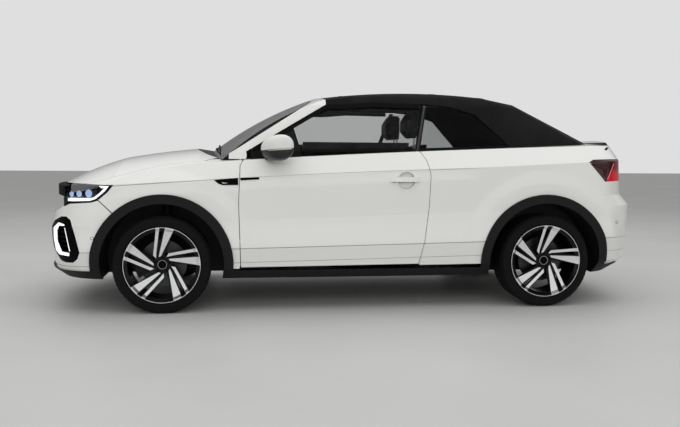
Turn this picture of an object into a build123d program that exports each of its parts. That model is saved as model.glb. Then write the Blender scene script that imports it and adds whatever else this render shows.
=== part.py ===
from build123d import *
from math import cos, radians, sin
import os

# Soft-top crossover convertible, four places, top closed. Millimetres.
# Nose towards -X, the car's left side towards -Y, +Z up, origin on the ground
# under the middle of the body.

# ------------------------------------------------------------ driving sizes
LENGTH = 4268.0
WIDTH = 1811.0               # over the wheel arch trims
HEIGHT = 1522.0
WHEELBASE = 2630.0
FRONT_OVERHANG = 838.0
TRACK = 1545.0
NOSE_X = -LENGTH / 2
TAIL_X = LENGTH / 2
FRONT_AXLE_X = NOSE_X + FRONT_OVERHANG
REAR_AXLE_X = FRONT_AXLE_X + WHEELBASE
HALF_TRACK = TRACK / 2

TYRE_R = 322.0
TYRE_W = 225.0
TYRE_FLATS = 60              # a tyre is a prism of this many flats
RIM_LIP_R = 250.0
RIM_SEAT_R = 233.0           # where the tyre's bead sits
RIM_W = 216.0
SPINDLE_R = 30.0
RUNNING_FIT = 0.05           # radial clearance of a shaft in its hole

ARCH_TRIM_R = 465.0          # outer edge of the black arch trim
ARCH_R = 403.0               # inner edge of the black arch trim
TRIM_PROUD = 12.0            # arch and sill trim stands this far off the paint
HALF_W = WIDTH / 2 - TRIM_PROUD

PANEL_T = 28.0
DOOR_T = 90.0
LAMP_T = 95.0                # depth of a lamp's housing
LENS_T = 5.0
GLASS_T = 8.0
FABRIC_T = 22.0
SHUT_GAP = 9.0               # door shut line
LID_GAP = 6.0                # hood and boot lid shut line
SEAM = 0.3                   # between fixed pieces that only lie together

GROUND_CLEARANCE = 222.0
FLOOR_T = 36.0
FLOOR_Z = GROUND_CLEARANCE + FLOOR_T
REAR_FLOOR_Z = 470.0
SILL_Z = 292.0               # lower edge of the painted side
TRIM_TOP_Z = SILL_Z - 12
FIREWALL_X = -905.0
JACK_X = (-700.0, 700.0)     # jacking pads under the sills
JACK_PAD_H = 10.0
FAR = 1300.0                 # beyond the body's sides and top
ENDS = 2400.0                # beyond its nose and tail

SIDES = (-1, 1)              # -1 the car's left, +1 its right
NAMES = {-1: "left", 1: "right"}

# ---------------------------------------------------------------- body mass
# Plan outlines, each a closed loop of four arcs with rounded corners, on planes
# that rise towards the tail. bow is how far the corners lie behind the middle.
# z at x=0, rise per mm, nose x, bow, tail x, bow, half width front, middle, rear
PLAN = [
    (GROUND_CLEARANCE, 0.000, NOSE_X + 92, 190.0, TAIL_X - 150, 150.0, 770.0, 808.0, 760.0),
    (300.0, 0.010, NOSE_X + 26, 190.0, TAIL_X - 10, 160.0, 828.0, 866.0, 838.0),
    (447.0, 0.022, NOSE_X + 6, 190.0, TAIL_X - 4, 160.0, 862.0, HALF_W - 5, 874.0),
    (640.0, 0.035, NOSE_X + 0, 190.0, TAIL_X - 0, 158.0, 866.0, HALF_W - 16, 876.0),
    (700.0, 0.045, NOSE_X + 12, 190.0, TAIL_X - 62, 170.0, 864.0, HALF_W - 14, 874.0),
    (931.0, 0.050, NOSE_X + 60, 190.0, TAIL_X - 66, 185.0, 848.0, HALF_W - 3, 866.0),
    (1078.0, 0.045, NOSE_X + 150, 190.0, TAIL_X - 110, 190.0, 745.0, 800.0, 720.0),
    (1250.0, 0.045, NOSE_X + 230, 190.0, TAIL_X - 130, 190.0, 665.0, 740.0, 640.0),
]
NOSE_CORNER_R = 330.0
TAIL_CORNER_R = 330.0

# Top line of the body, as (x, z on the centre line, z at CROWN_Y)
CROWN_Y = 900.0
HOOD_FRONT = [(NOSE_X - 60, 745.0, 640.0), (-1900.0, 912.0, 742.0), (-1601.0, 1021.0, 850.0)]
HOOD_REAR = [(-1601.0, 1021.0, 850.0), (-1344.0, 1062.0, 920.0), (-1085.0, 1090.0, 965.0)]
BELT = [(-760.0, 1040.0, 1008.0), (400.0, 1092.0, 1074.0), (1700.0, 1158.0, 1118.0)]
DECK_END = (TAIL_X + 60, 1150.0, 1104.0)


def plan_face(row, grow):
    """One plan outline of the body, grown outwards by grow."""
    z, rise, nose, nose_bow, tail, tail_bow, half_f, half_m, half_r = row
    nose, tail = nose - grow, tail + grow
    half_f, half_m, half_r = half_f + grow, half_m + grow, half_r + grow
    front, rear = nose + nose_bow, tail - tail_bow
    arcs = [
        ThreePointArc((front, -half_f), (nose, 0), (front, half_f)),
        ThreePointArc((front, half_f), (0, half_m), (rear, half_r)),
        ThreePointArc((rear, half_r), (tail, 0), (rear, -half_r)),
        ThreePointArc((rear, -half_r), (0, -half_m), (front, -half_f)),
    ]
    face = make_face(arcs)
    face = fillet([v for v in face.vertices() if v.X < 0], NOSE_CORNER_R + grow)
    corners = [v for v in face.vertices() if abs(v.X - rear) < 1]
    face = fillet(corners, TAIL_CORNER_R + grow)
    slope = Plane(origin=(0, 0, z), x_dir=(1, 0, rise), z_dir=(-rise, 0, 1))
    return slope * face


def top_profile(y, column, grow):
    """Side view of the body at one y, closed below, as a face in the XZ plane."""
    def at(point):
        return (point[0], y, point[column] + grow)

    base = GROUND_CLEARANCE - 60
    first, last = at(HOOD_FRONT[0]), at(DECK_END)
    edges = [
        ThreePointArc(*[at(p) for p in HOOD_FRONT]),
        ThreePointArc(*[at(p) for p in HOOD_REAR]),
        Line(at(HOOD_REAR[2]), at(BELT[0])),
        ThreePointArc(*[at(p) for p in BELT]),
        Line(at(BELT[2]), last),
        Line(last, (last[0], y, base)),
        Line((last[0], y, base), (first[0], y, base)),
        Line((first[0], y, base), first),
    ]
    return make_face(edges)


def side_mass(grow=0.0):
    """The body's sides alone, open to above the belt."""
    return loft([plan_face(row, grow) for row in PLAN], ruled=True)


def body_mass(grow=0.0):
    """The closed outer shape of the lower body."""
    top = loft([top_profile(-CROWN_Y, 2, grow), top_profile(0, 1, grow),
                top_profile(CROWN_Y, 2, grow)])
    return side_mass(grow) & top


# --------------------------------------------------------------- cabin mass
# Half widths of the glasshouse: z, at x=CABIN_FRONT, at x=CABIN_MID, at x=CABIN_REAR
CABIN_FRONT, CABIN_MID, CABIN_REAR = -1250.0, 150.0, 2050.0
CABIN = [
    (960.0, 740.0, 832.0, 640.0),
    (1075.0, 700.0, 790.0, 600.0),
    (1395.0, 540.0, 612.0, 440.0),
    (1462.0, 490.0, 556.0, 390.0),
    (1535.0, 360.0, 430.0, 290.0),
]
# Side view of the glasshouse, as (x, z) on the centre line and at CABIN_Y
CABIN_Y = 800.0
SCREEN = [((-1045.0, 1014.0), (-925.0, 985.0)), ((-615.0, 1304.0), (-560.0, 1240.0)),
          ((-226.0, 1472.0), (-215.0, 1393.0))]
ROOF = [((-226.0, 1472.0), (-215.0, 1393.0)), ((430.0, HEIGHT), (400.0, 1440.0)),
        ((1040.0, 1499.0), (900.0, 1402.0))]
BOW = ((1300.0, 1454.0), (1080.0, 1345.0))
TOP_FOOT = ((1900.0, 1158.0), (1640.0, 1087.0))
TOP_BASE = ((1990.0, 1000.0), (1730.0, 980.0))


def cabin_plan(row, grow):
    """One level outline of the glasshouse, grown outwards by grow."""
    z, half_f, half_m, half_r = row
    half_f, half_m, half_r = half_f + grow, half_m + grow, half_r + grow
    edges = [
        Line((CABIN_FRONT, -half_f, z), (CABIN_FRONT, half_f, z)),
        ThreePointArc((CABIN_FRONT, half_f, z), (CABIN_MID, half_m, z), (CABIN_REAR, half_r, z)),
        Line((CABIN_REAR, half_r, z), (CABIN_REAR, -half_r, z)),
        ThreePointArc((CABIN_REAR, -half_r, z), (CABIN_MID, -half_m, z), (CABIN_FRONT, -half_f, z)),
    ]
    return make_face(edges)


def cabin_profile(y, column, grow):
    """Side view of the glasshouse at one y, each point pushed out by shares of grow."""
    def at(point, dx=0.0, dz=1.0):
        return (point[column][0] + dx * grow, y, point[column][1] + dz * grow)

    edges = [
        ThreePointArc(at(SCREEN[0], -0.7, 0.5), at(SCREEN[1], -0.4, 0.9), at(SCREEN[2])),
        ThreePointArc(at(ROOF[0]), at(ROOF[1]), at(ROOF[2])),
        Line(at(ROOF[2]), at(BOW, 0.3)),
        Line(at(BOW, 0.3), at(TOP_FOOT, 0.5, 0.9)),
        Line(at(TOP_FOOT, 0.5, 0.9), at(TOP_BASE, 1.0, 0.0)),
        Line(at(TOP_BASE, 1.0, 0.0), at(SCREEN[0], -0.7, 0.5)),
    ]
    return make_face(edges)


def cabin_mass(grow=0.0):
    """The closed outer shape of the glasshouse and the soft top."""
    sides = loft([cabin_plan(row, grow) for row in CABIN], ruled=True)
    profile = loft([cabin_profile(-CABIN_Y, 1, grow), cabin_profile(0, 0, grow),
                    cabin_profile(CABIN_Y, 1, grow)])
    return sides & profile


# ------------------------------------------------------------------ helpers
def side_prism(points, y0, y1):
    """An outline in the side view, as (x, z), pushed from y0 to y1."""
    low, high = min(y0, y1), max(y0, y1)
    face = make_face(Polyline(*[(x, low, z) for x, z in points], close=True))
    return extrude(face, amount=high - low, dir=(0, 1, 0))


def plan_prism(edges, z0, z1):
    """Edges in plan, pushed up from z0 to z1."""
    return extrude(make_face([Pos(0, 0, z0) * e for e in edges]), amount=z1 - z0, dir=(0, 0, 1))


def block(x0, x1, y0, y1, z0, z1):
    size = (abs(x1 - x0), abs(y1 - y0), abs(z1 - z0))
    return Pos((x0 + x1) / 2, (y0 + y1) / 2, (z0 + z1) / 2) * Box(*size)


def cross_cylinder(x, z, radius, y0, y1):
    return Pos(x, (y0 + y1) / 2, z) * (Rot(90, 0, 0) * Cylinder(radius, abs(y1 - y0)))


def rod(start, end, radius):
    line = Line(start, end)
    return Solid.make_cylinder(radius, line.length, Plane(origin=start, z_dir=line % 0))


def around_y(points):
    """A closed (y, radius) outline turned about the Y axis."""
    return revolve(make_face(Polyline(*[(r, y, 0) for y, r in points], close=True)), Axis.Y)


def shifted(points, dx):
    return [(x + dx, z) for x, z in points]


def arc_band(nose, end, half, depth, z0, z1):
    """A wall bowed forwards in plan, from end at its sides to nose in the middle."""
    front = ThreePointArc((end, -half), (nose, 0), (end, half))
    back = ThreePointArc((end + depth, -half), (nose + depth, 0), (end + depth, half))
    ends = [Line((end, side * half), (end + depth, side * half)) for side in SIDES]
    return plan_prism([front, back] + ends, z0, z1)


def sunk(shape, depth, towards):
    """A left corner of the body moved inwards, towards the tail with 1 or the nose with -1."""
    return Pos(towards * depth * CORNER_SHARE, depth * CORNER_SHARE, 0) * shape


def mirrored(shape):
    return mirror(shape, about=Plane.XZ)


def pair(shape):
    """A left piece and its mirror image on the right."""
    return [shape, mirrored(shape)]


def save(name, *shapes):
    solids = []
    for shape in shapes:
        found = shape.solids() if hasattr(shape, "solids") else shape
        solids.extend(s for s in found if s.volume > 50.0)
    export_step(solids[0] if len(solids) == 1 else Compound(solids), f"parts/{name}.step")


def save_sides(name, left):
    """A node for each side of the car, the right one the mirror image of the left."""
    save(f"{name}_left", left)
    save(f"{name}_right", mirrored(left))


# ---------------------------------------------------------------- shut lines
# Outlines in the side view, as (x, z)
DOOR_FRONT = [(-747.0, 1056.0), (-793.0, 976.0), (-804.0, 734.0), (-790.0, SILL_Z)]
DOOR_REAR = [(424.0, SILL_Z + 12), (461.0, 467.0), (491.0, 707.0), (497.0, 917.0),
             (474.0, 1021.0), (431.0, 1088.0), (420.0, 1130.0)]
DOOR_OUTLINE = ([(DOOR_FRONT[0][0] + SHUT_GAP, 1100.0)] + shifted(DOOR_FRONT[:-1], SHUT_GAP)
                + [(DOOR_FRONT[-1][0] + SHUT_GAP, SILL_Z + SHUT_GAP)]
                + [(DOOR_REAR[0][0], DOOR_REAR[0][1] + SHUT_GAP)] + DOOR_REAR[1:])
LAMP_OUTLINE = [(-1926.0, 707.0), (-1914.0, 845.0), (-1604.0, 845.0), (-1640.0, 803.0),
                (-1700.0, 750.0), (-1745.0, 736.0), (-1885.0, 726.0)]
LAMP_POCKET = [(-1912.0, 716.0), (-1900.0, 840.0), (-1628.0, 840.0), (-1656.0, 805.0),
               (-1712.0, 757.0), (-1750.0, 744.0), (-1880.0, 735.0)]
LAMP_STRIP = [(-1905.0, 737.0), (-1745.0, 744.5), (-1708.0, 757.0), (-1664.0, 795.0), (-1640.0, 822.0),
              (-1662.0, 822.0), (-1684.0, 799.0), (-1718.0, 770.0), (-1748.0, 759.0), (-1903.0, 755.0)]
LAMP_CORNER = [(-1630.0, 839.0), (-1696.0, 839.0), (-1676.0, 826.0), (-1638.0, 826.0)]
PROJECTORS = [(-1893.0, -771.0, 782.0, 20.0), (-1838.0, -811.0, 786.0, 24.0), (-1772.0, -842.0, 790.0, 30.0)]
PROJECTOR_AIM = (-0.5, -0.866, 0.0)
POCKET_DEPTH = 70.0
CORNER_SHARE = 0.75
LAMP_ZONE = (-2300.0, -1560.0, -1000.0, -300.0, 640.0, 900.0)

TAIL_LAMP_OUTLINE = [(1633.0, 1012.0), (1672.0, 1032.0), (1825.0, 1037.0), (ENDS, 1037.0), (ENDS, 884.0),
                     (1872.0, 880.0), (1766.0, 877.0), (1770.0, 905.0), (1745.0, 980.0)]
LID_HALF_W = 560.0
TAIL_BARS = [905.0, 945.0, 985.0]
BAR_H = 16.0
REAR_BUMPER_TOP = 865.0
REAR_BUMPER_LINE = [(1700.0, 620.0), (1815.0, REAR_BUMPER_TOP)]
LID_FRONT_X = 1915.0
LID_LOW_Z = 790.0
LIP = [(1935.0, 1120.0), (1935.0, 1158.0), (2010.0, 1176.0), (2078.0, 1180.0), (2086.0, 1168.0), (2040.0, 1120.0)]
LIP_HALF_W = 540.0

GRILLE_LOW_Z = 652.0
GRILLE_TOP_Z = 836.0
GRILLE_END = (-1926.0, 735.0)            # where the grille meets the lamp: x, distance off the middle
GRILLE_NOSE_X = -2080.0
GRILLE_DEPTH = 70.0
GRILLE_BAR_Z = 768.0                    # lower edge of the bar that stands forward of the mesh
BAR_STEP = 46.0
GRILLE_SIDE = [(-ENDS, GRILLE_LOW_Z), (-2035.0, GRILLE_LOW_Z), (-1930.0, 704.0), (-1918.5, GRILLE_TOP_Z),
               (-ENDS, GRILLE_TOP_Z)]
GRILLE_SLOTS = [(664.0, 520.0), (690.0, 570.0), (716.0, 610.0), (742.0, 640.0)]     # low edge, half width
SLOT_H = 16.0
SLOT_DEPTH = 20.0

INTAKE = [(-2042.0, 558.0), (-2042.0, 487.0), (-2021.0, 432.0), (-1992.0, 389.0), (-1960.0, 345.0),
          (-1925.0, 334.0), (-1870.0, 336.0), (-1838.0, 362.0), (-1820.0, 406.0), (-1850.0, 524.0),
          (-1879.0, 618.0), (-1910.0, 639.0), (-1948.0, 637.0), (-2008.0, 605.0)]
INTAKE_POCKET = [(-1958.0, 570.0), (-1928.0, 570.0), (-1897.0, 416.0), (-1941.0, 416.0), (-1972.0, 478.0),
                 (-1972.0, 543.0)]
INTAKE_LIGHT = [(-1922.0, 578.0), (-1922.0, 587.0), (-1971.0, 597.0), (-2021.0, 554.0), (-2023.0, 486.0),
                (-2001.0, 409.0), (-1971.0, 383.0), (-1894.0, 379.0), (-1891.0, 402.0), (-1945.0, 406.0),
                (-1980.0, 476.0), (-1980.0, 545.0), (-1962.0, 576.0)]
INTAKE_TRIM = [(-1925.0, 565.0), (-1918.0, 565.0), (-1884.0, 412.0), (-1892.0, 412.0)]
INTAKE_SLATS = [440.0, 470.0, 500.0, 530.0]
BUMPER_LINE = [(-1698.0, 745.0), (-1590.0, 640.0)]       # front bumper to fender
MOUTH_HALF_W = 470.0
MOUTH_Z = (330.0, 520.0)
MOUTH_SLOTS = [352.0, 392.0, 432.0, 472.0]

MIRROR_SECTIONS = [                      # distance off the middle, x0, x1, z0, z1
    (836.0, -640.0, -540.0, 1036.0, 1112.0),
    (870.0, -648.0, -470.0, 1018.0, 1160.0),
    (930.0, -618.0, -446.0, 1012.0, 1180.0),
    (985.0, -560.0, -444.0, 1036.0, 1170.0),
    (999.0, -528.0, -462.0, 1064.0, 1144.0),
]
SAIL = [(-716.0, 1000.0), (-716.0, 1075.0), (-424.0, 1248.0), (-384.0, 1106.0), (-370.0, 1000.0)]
PILLAR = [(-860.0, 1020.0), (-860.0, 1055.0), (-815.0, 1083.0), (-276.0, 1428.0), (-276.0, 1600.0),
          (-190.0, 1600.0), (-190.0, 1400.0), (-746.0, 1066.5), (-746.0, 1020.0)]
SCREEN_EDGE = [(-1300.0, 1000.0), (-1300.0, 1600.0), (-277.0, 1600.0), (-277.0, 1428.0), (-816.0, 1083.0),
               (-861.0, 1055.0), (-861.0, 1000.0)]
DOOR_GLASS = [(-364.0, 1000.0), (-378.0, 1106.0), (-418.0, 1250.0), (-180.0, 1392.0), (-76.0, 1392.0),
              (126.0, 1409.0), (496.0, 1404.0), (408.0, 1092.0), (404.0, 1000.0)]
DIVIDER = [(502.0, 1404.0), (532.0, 1403.0), (446.0, 1092.0), (442.0, 1000.0), (441.0, 1000.0),
           (441.0, 1089.0), (414.0, 1095.0)]
QUARTER_GLASS = [(532.5, 1403.0), (702.0, 1395.0), (882.0, 1342.0), (1111.0, 1120.0), (1111.0, 1000.0),
                 (442.5, 1000.0), (446.5, 1092.0)]
TOP_EDGE = [(-189.0, 1600.0), (-189.0, 1400.0), (-70.0, 1400.0), (126.0, 1417.0), (532.0, 1411.0),
            (702.0, 1396.0), (882.0, 1343.0), (1112.0, 1120.0), (1112.0, 1000.0), (ENDS, 1000.0), (ENDS, 1600.0)]
REAR_PANE = (1392.0, 1690.0, 410.0)      # x0, x1, half width
HANDLE = (212.0, 426.0, 874.0, 906.0)    # x0, x1, z0, z1


def hood_plan(gap):
    """The hood seen from above, smaller by gap on its free edges."""
    front, corner, side = -2075.0 + gap, 520.0 - gap, 757.0 - gap
    corner_x, corner_y, middle = -1015.0 - gap, 640.0 - gap, -1092.0 - gap
    edges = [
        ThreePointArc((front + 75, -corner), (front, 0), (front + 75, corner)),
        ThreePointArc((front + 75, corner), (-1751.0, 722.0 - gap), (-1400.0, side)),
        Line((-1400.0, side), (corner_x, side)),
        Line((corner_x, side), (corner_x + 85, corner_y)),
        ThreePointArc((corner_x + 85, corner_y), (middle, 0), (corner_x + 85, -corner_y)),
        Line((corner_x + 85, -corner_y), (corner_x, -side)),
        Line((corner_x, -side), (-1400.0, -side)),
        ThreePointArc((-1400.0, -side), (-1751.0, -722.0 + gap), (front + 75, -corner)),
    ]
    return plan_prism(edges, 640, FAR)


# -------------------------------------------------------------------- wheels
HUB_R = 60.0
DISH = [(-66.0, 0.0), (-70.0, 70.0), (-97.0, 229.0), (-72.0, 229.0), (-38.0, 70.0), (-38.0, 0.0)]
RIM_INNER_R = RIM_SEAT_R - 11
PAIRS = 5
WIDE_CENTRE = 7.0            # degrees from the first wide blade's lower edge to its middle
DISC_R = 156.0
DISC_T = 22.0
DISC_Y = 22.0
DISC_OUT = DISC_Y - DISC_T / 2
DISC_IN = DISC_Y + DISC_T / 2


def polar(radius, angle):
    return (radius * cos(radians(angle)), radius * sin(radians(angle)))


def blade_outlines():
    """The wide and the narrow blade of one pair in the wheel's face plane."""
    reach, r = RIM_LIP_R - 2, RIM_LIP_R       # past the dish, which cuts the blades' ends
    wide = [polar(reach, 0.0), polar(reach, 7.0), polar(reach, 14.0), (0.30 * r, 0.235 * r),
            polar(0.20 * r, 50), (0.13 * r, 0.03 * r)]
    narrow = [polar(reach, 21.4), polar(reach, 26.3), (0.165 * r, 0.30 * r), polar(0.20 * r, 62),
              (0.225 * r, 0.235 * r)]
    return wide, narrow


def rim(turn):
    """A wheel rim whose outer face looks towards -Y, its pairs turned by turn degrees."""
    half = RIM_W / 2
    barrel = around_y([(-half, RIM_LIP_R), (-half + 8, RIM_LIP_R), (-half + 8, RIM_SEAT_R),
                       (half - 8, RIM_SEAT_R), (half - 8, RIM_LIP_R), (half, RIM_LIP_R),
                       (half, RIM_LIP_R - 12), (half - 14, RIM_INNER_R), (-half + 14, RIM_INNER_R),
                       (-half, RIM_LIP_R - 10)])
    hub = around_y([(-68, 0), (-68, 34), (-64, 38), (-64, HUB_R), (DISC_OUT - SEAM, HUB_R + 14),
                    (DISC_OUT - SEAM, SPINDLE_R + RUNNING_FIT), (-46, SPINDLE_R + RUNNING_FIT), (-46, 0)])
    dish = around_y(DISH)
    blades = [dish & side_prism(outline, DISH[2][0] - 5, DISH[-1][0] + 5) for outline in blade_outlines()]
    spokes = [Rot(0, -(turn + i * 360 / PAIRS), 0) * b for i in range(PAIRS) for b in blades]
    return barrel + hub + spokes


def tyre():
    """A tyre of flats between level sections, so that it stays light."""
    half = TYRE_W / 2
    wall = RIM_W / 2 - 8 - SEAM
    shape = [(wall, RIM_LIP_R + 4), (half, RIM_LIP_R + 34), (half - 10, TYRE_R - 14), (half - 28, TYRE_R)]
    sections = [(-y, r) for y, r in shape] + [(y, r) for y, r in reversed(shape)]
    flats = [Plane(origin=(0, y, 0), z_dir=(0, 1, 0)) * RegularPolygon(r, TYRE_FLATS) for y, r in sections]
    bore = Plane(origin=(0, -wall, 0), z_dir=(0, 1, 0)) * RegularPolygon(
        RIM_SEAT_R + SEAM, TYRE_FLATS, major_radius=False)
    return loft(flats, ruled=True) - extrude(bore, amount=2 * wall, dir=(0, 1, 0))


def brake_disc():
    return around_y([(DISC_OUT, SPINDLE_R + 8), (DISC_OUT, DISC_R), (DISC_IN, DISC_R), (DISC_IN, SPINDLE_R + 8)])


def wheel_at(shape, x, side):
    """Puts a wheel piece that faces -Y at its axle end, turned round for the right side."""
    piece = shape if side < 0 else mirrored(shape)
    return Pos(x, side * HALF_TRACK, TYRE_R) * piece


# ------------------------------------------------------- knuckles and struts
LINER_T = 7.0
WELLS = [(FRONT_AXLE_X, 474.0), (REAR_AXLE_X, 600.0)]      # axle x, inner wall of the wheel well
STRUT_R = 27.0
STRUT_SHAFT_R = 11.0
AXLE_R = 40.0
KINGPIN_LOW = (0.0, HALF_TRACK - 66.0, -130.0)    # from the axle: x, distance off the middle, z
KINGPIN_TOP = (20.0, HALF_TRACK - 230.0, 520.0)


def kingpin(side):
    low = (FRONT_AXLE_X + KINGPIN_LOW[0], side * KINGPIN_LOW[1], TYRE_R + KINGPIN_LOW[2])
    top = (FRONT_AXLE_X + KINGPIN_TOP[0], side * KINGPIN_TOP[1], TYRE_R + KINGPIN_TOP[2])
    return low, top


def kingpin_rod(side, start, end, radius):
    """A rod on the steering axis between two shares of its length."""
    low, top = kingpin(side)
    along = Vector(*top) - Vector(*low)
    return rod(tuple(Vector(*low) + along * start), tuple(Vector(*low) + along * end), radius)


def spindle():
    """The stub that a wheel turns on, from its inner end to inside the hub."""
    return cross_cylinder(0, 0, SPINDLE_R, -44, 70)


def caliper():
    """A brake caliper that straddles the disc on its front side."""
    gap = 5.0
    y0, y1 = DISC_OUT - gap - 12, DISC_IN + gap + 26
    ring = cross_cylinder(0, 0, DISC_R + 30, y0, y1) - cross_cylinder(0, 0, DISC_R - 52, y0 - 1, y1 + 1)
    slot = cross_cylinder(0, 0, DISC_R + gap, DISC_OUT - gap, DISC_IN + gap)
    wedge = side_prism([(0, 0), polar(400, 150), polar(400, 212)], y0 - 2, y1 + 2)
    return (ring - slot) & wedge


def knuckle():
    """The left front wheel carrier with its strut, caliper and the arm that holds the caliper."""
    carrier = cross_cylinder(0, 0, 62, DISC_IN + 6, 84)
    arm = block(-150, 0, 60, 82, -34, 34)
    near_hub = Pos(FRONT_AXLE_X, -HALF_TRACK, TYRE_R) * (carrier + spindle() + caliper() + arm)
    strut = kingpin_rod(-1, 0.0, 0.30, 20) + kingpin_rod(-1, 0.28, 0.80, STRUT_R)
    spring_seat = kingpin_rod(-1, 0.64, 0.66, STRUT_R + 26)
    return near_hub + strut + spring_seat + kingpin_rod(-1, 0.78, 1.0, STRUT_SHAFT_R)


# ------------------------------------------------------------------ interior
CHAIR_Y = 370.0
CHAIR_W = 500.0
COLUMN_TILT = 24.0
STEER_CENTRE = (-395.0, -CHAIR_Y, 905.0)
STEER_R = 178.0
SHAFT_R = 12.0
COLUMN_R = 24.0


def chair():
    """The left front chair: base, cushion, back and the head rest grown into it."""
    y0, y1 = -CHAIR_Y - CHAIR_W / 2, -CHAIR_Y + CHAIR_W / 2
    foot = FLOOR_Z + SEAM
    profile = [(-60, foot), (-60, 300), (-140, 310), (-150, 420), (-130, 520), (60, 545), (330, 520),
               (400, 760), (455, 1130), (470, 1365), (520, 1375), (545, 1330), (560, 1130), (520, 640),
               (470, 380), (380, 300), (380, foot)]
    seat = side_prism(profile, y0, y1)
    for sign, edge in ((-1, y0), (1, y1)):
        notch = Polyline((400, edge, 1090), (400, edge, 1400), (400, edge - sign * 140, 1400),
                         (400, edge - sign * 120, 1180), close=True)
        seat -= extrude(make_face(notch), amount=220, dir=(1, 0, 0))
    return seat


def steering_wheel():
    wheel = Torus(STEER_R, 15) + Cylinder(58, 46)
    for angle in (0, 180, 270):
        wheel += Rot(0, 0, angle) * (Pos(STEER_R / 2, 0, 0) * Box(STEER_R, 34, 16))
    wheel -= Pos(0, 0, -12) * Cylinder(SHAFT_R + RUNNING_FIT, 24)
    tilt = radians(COLUMN_TILT)
    return Plane(origin=STEER_CENTRE, x_dir=(0, 1, 0), z_dir=(cos(tilt), 0, sin(tilt))) * wheel


def column_point(back):
    """A point on the steering column, back mm in front of the steering wheel."""
    tilt = radians(COLUMN_TILT)
    return (STEER_CENTRE[0] - back * cos(tilt), STEER_CENTRE[1], STEER_CENTRE[2] - back * sin(tilt))


# --------------------------------------------------------------- body panels
def side_wells(radius, y0, y1):
    """Cylinders across the left wheel arches."""
    return [cross_cylinder(x, TYRE_R, radius, -y0, -y1) for x in (FRONT_AXLE_X, REAR_AXLE_X)]


def both_wells(radius, y0, y1):
    return [w for well in side_wells(radius, y0, y1) for w in pair(well)]


def save_panels(outer, skin, cabin):
    """Hood, cowl, fenders, quarter panels, rear deck and boot lid."""
    top_zone = side_prism([(-ENDS, 600), (-ENDS, GRILLE_TOP_Z + 4), (-1601, 852), (-1400, 600)], -1000, 1000)
    cut_zone = side_prism([(-ENDS, 600), (-ENDS, GRILLE_TOP_Z), (-1601, 848), (-1400, 600)], -1000, 1000)
    hood_cut = hood_plan(0.0)
    save("hood", (skin & (hood_plan(LID_GAP) - top_zone)))
    cowl_zone = block(-1130, -700, -700, 700, 900, FAR)
    save("cowl", (skin & cowl_zone) - hood_cut - cabin)

    fender_side = ([(-1695.0, 750.0), (-1635.0, 801.0), (-1599.0, 847.0), (-2000.0, 849.0), (-2000.0, FAR),
                    (DOOR_FRONT[0][0], FAR)] + DOOR_FRONT + [(-1500.0, SILL_Z), (-1590.0, 650.0)])
    arches = side_wells(ARCH_TRIM_R + SEAM, 480, 1000)
    fender = (skin & side_prism(fender_side, -300, -1000)) - (hood_cut - cut_zone) - cowl_zone - cabin
    save("fenders", *pair(fender - arches))

    quarter_side = (shifted(DOOR_REAR, SHUT_GAP) + [(DOOR_REAR[-1][0] + SHUT_GAP, FAR), (ENDS, FAR)]
                    + [(ENDS, REAR_BUMPER_TOP)] + REAR_BUMPER_LINE[::-1] + [(1700.0, SILL_Z + 20)])
    quarter = (skin & side_prism(quarter_side, -LID_HALF_W, -1000)) - arches - cabin
    save("quarter_panels", *pair(quarter - side_prism(TAIL_LAMP_OUTLINE, -LID_HALF_W + 1, -1000)))
    deck = block(1500, LID_FRONT_X - LID_GAP, -LID_HALF_W + SEAM, LID_HALF_W - SEAM, 1000, 1400)
    save("rear_deck", (skin & deck) - cabin)
    half = LID_HALF_W - LID_GAP
    lip = side_prism(LIP, -LIP_HALF_W, LIP_HALF_W) & side_mass()
    lid = (skin & block(LID_FRONT_X, ENDS, -half, half, LID_LOW_Z, FAR)) + lip
    save("boot_lid", lid - cabin)


def save_lamps(outer):
    """Headlamps and tail lamps: a housing behind a clear lens. Gives back the headlamps' lights."""
    corner = outer & block(*LAMP_ZONE)
    outline = side_prism(LAMP_OUTLINE, -300, -1000)
    front = sunk(corner, LENS_T + 2 * SEAM, 1)
    save("headlamp_lenses", *pair((corner - sunk(corner, LENS_T, 1)) & outline))
    housing = (front - sunk(corner, LAMP_T, 1)) & outline
    pocket = (front - sunk(corner, POCKET_DEPTH, 1)) & side_prism(LAMP_POCKET, -300, -1000)
    aim = Vector(*PROJECTOR_AIM)
    barrels = []
    for x, y, z, radius in PROJECTORS:
        face = Vector(x, y, z) - aim * 24
        barrels.append(rod(tuple(face - aim * 66), tuple(face), radius) & front)
    housing = housing - pocket + barrels
    save("headlamps", *pair(housing))
    light = sunk(corner, LENS_T + 8, 1) - sunk(corner, POCKET_DEPTH - 2 * SEAM, 1)
    lights = [(light & side_prism(points, -300, -1000)) - housing for points in (LAMP_STRIP, LAMP_CORNER)]

    corner = outer & block(1500, 2300, -1000, -LID_HALF_W + SEAM, 840, 1080)
    outline = side_prism(TAIL_LAMP_OUTLINE, -LID_HALF_W, -1000)
    lens = (corner - sunk(corner, LENS_T, -1)) & outline
    save("tail_lamp_lenses", *pair(lens & block(1500, 2300, -1000, -LID_HALF_W + SEAM, 840, 1080)))
    housing = (sunk(corner, LENS_T + 2 * SEAM, -1) - sunk(corner, LAMP_T, -1)) & outline
    bars = [block(1690, 2300, -1000, 0, z, z + BAR_H) for z in TAIL_BARS]
    housing -= [(corner - sunk(corner, 30, -1)) & bar for bar in bars]
    save("tail_lamps", *pair(housing & block(1500, 2300, -1000, -LID_HALF_W + SEAM, 840, 1080)))
    return lights


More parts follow.
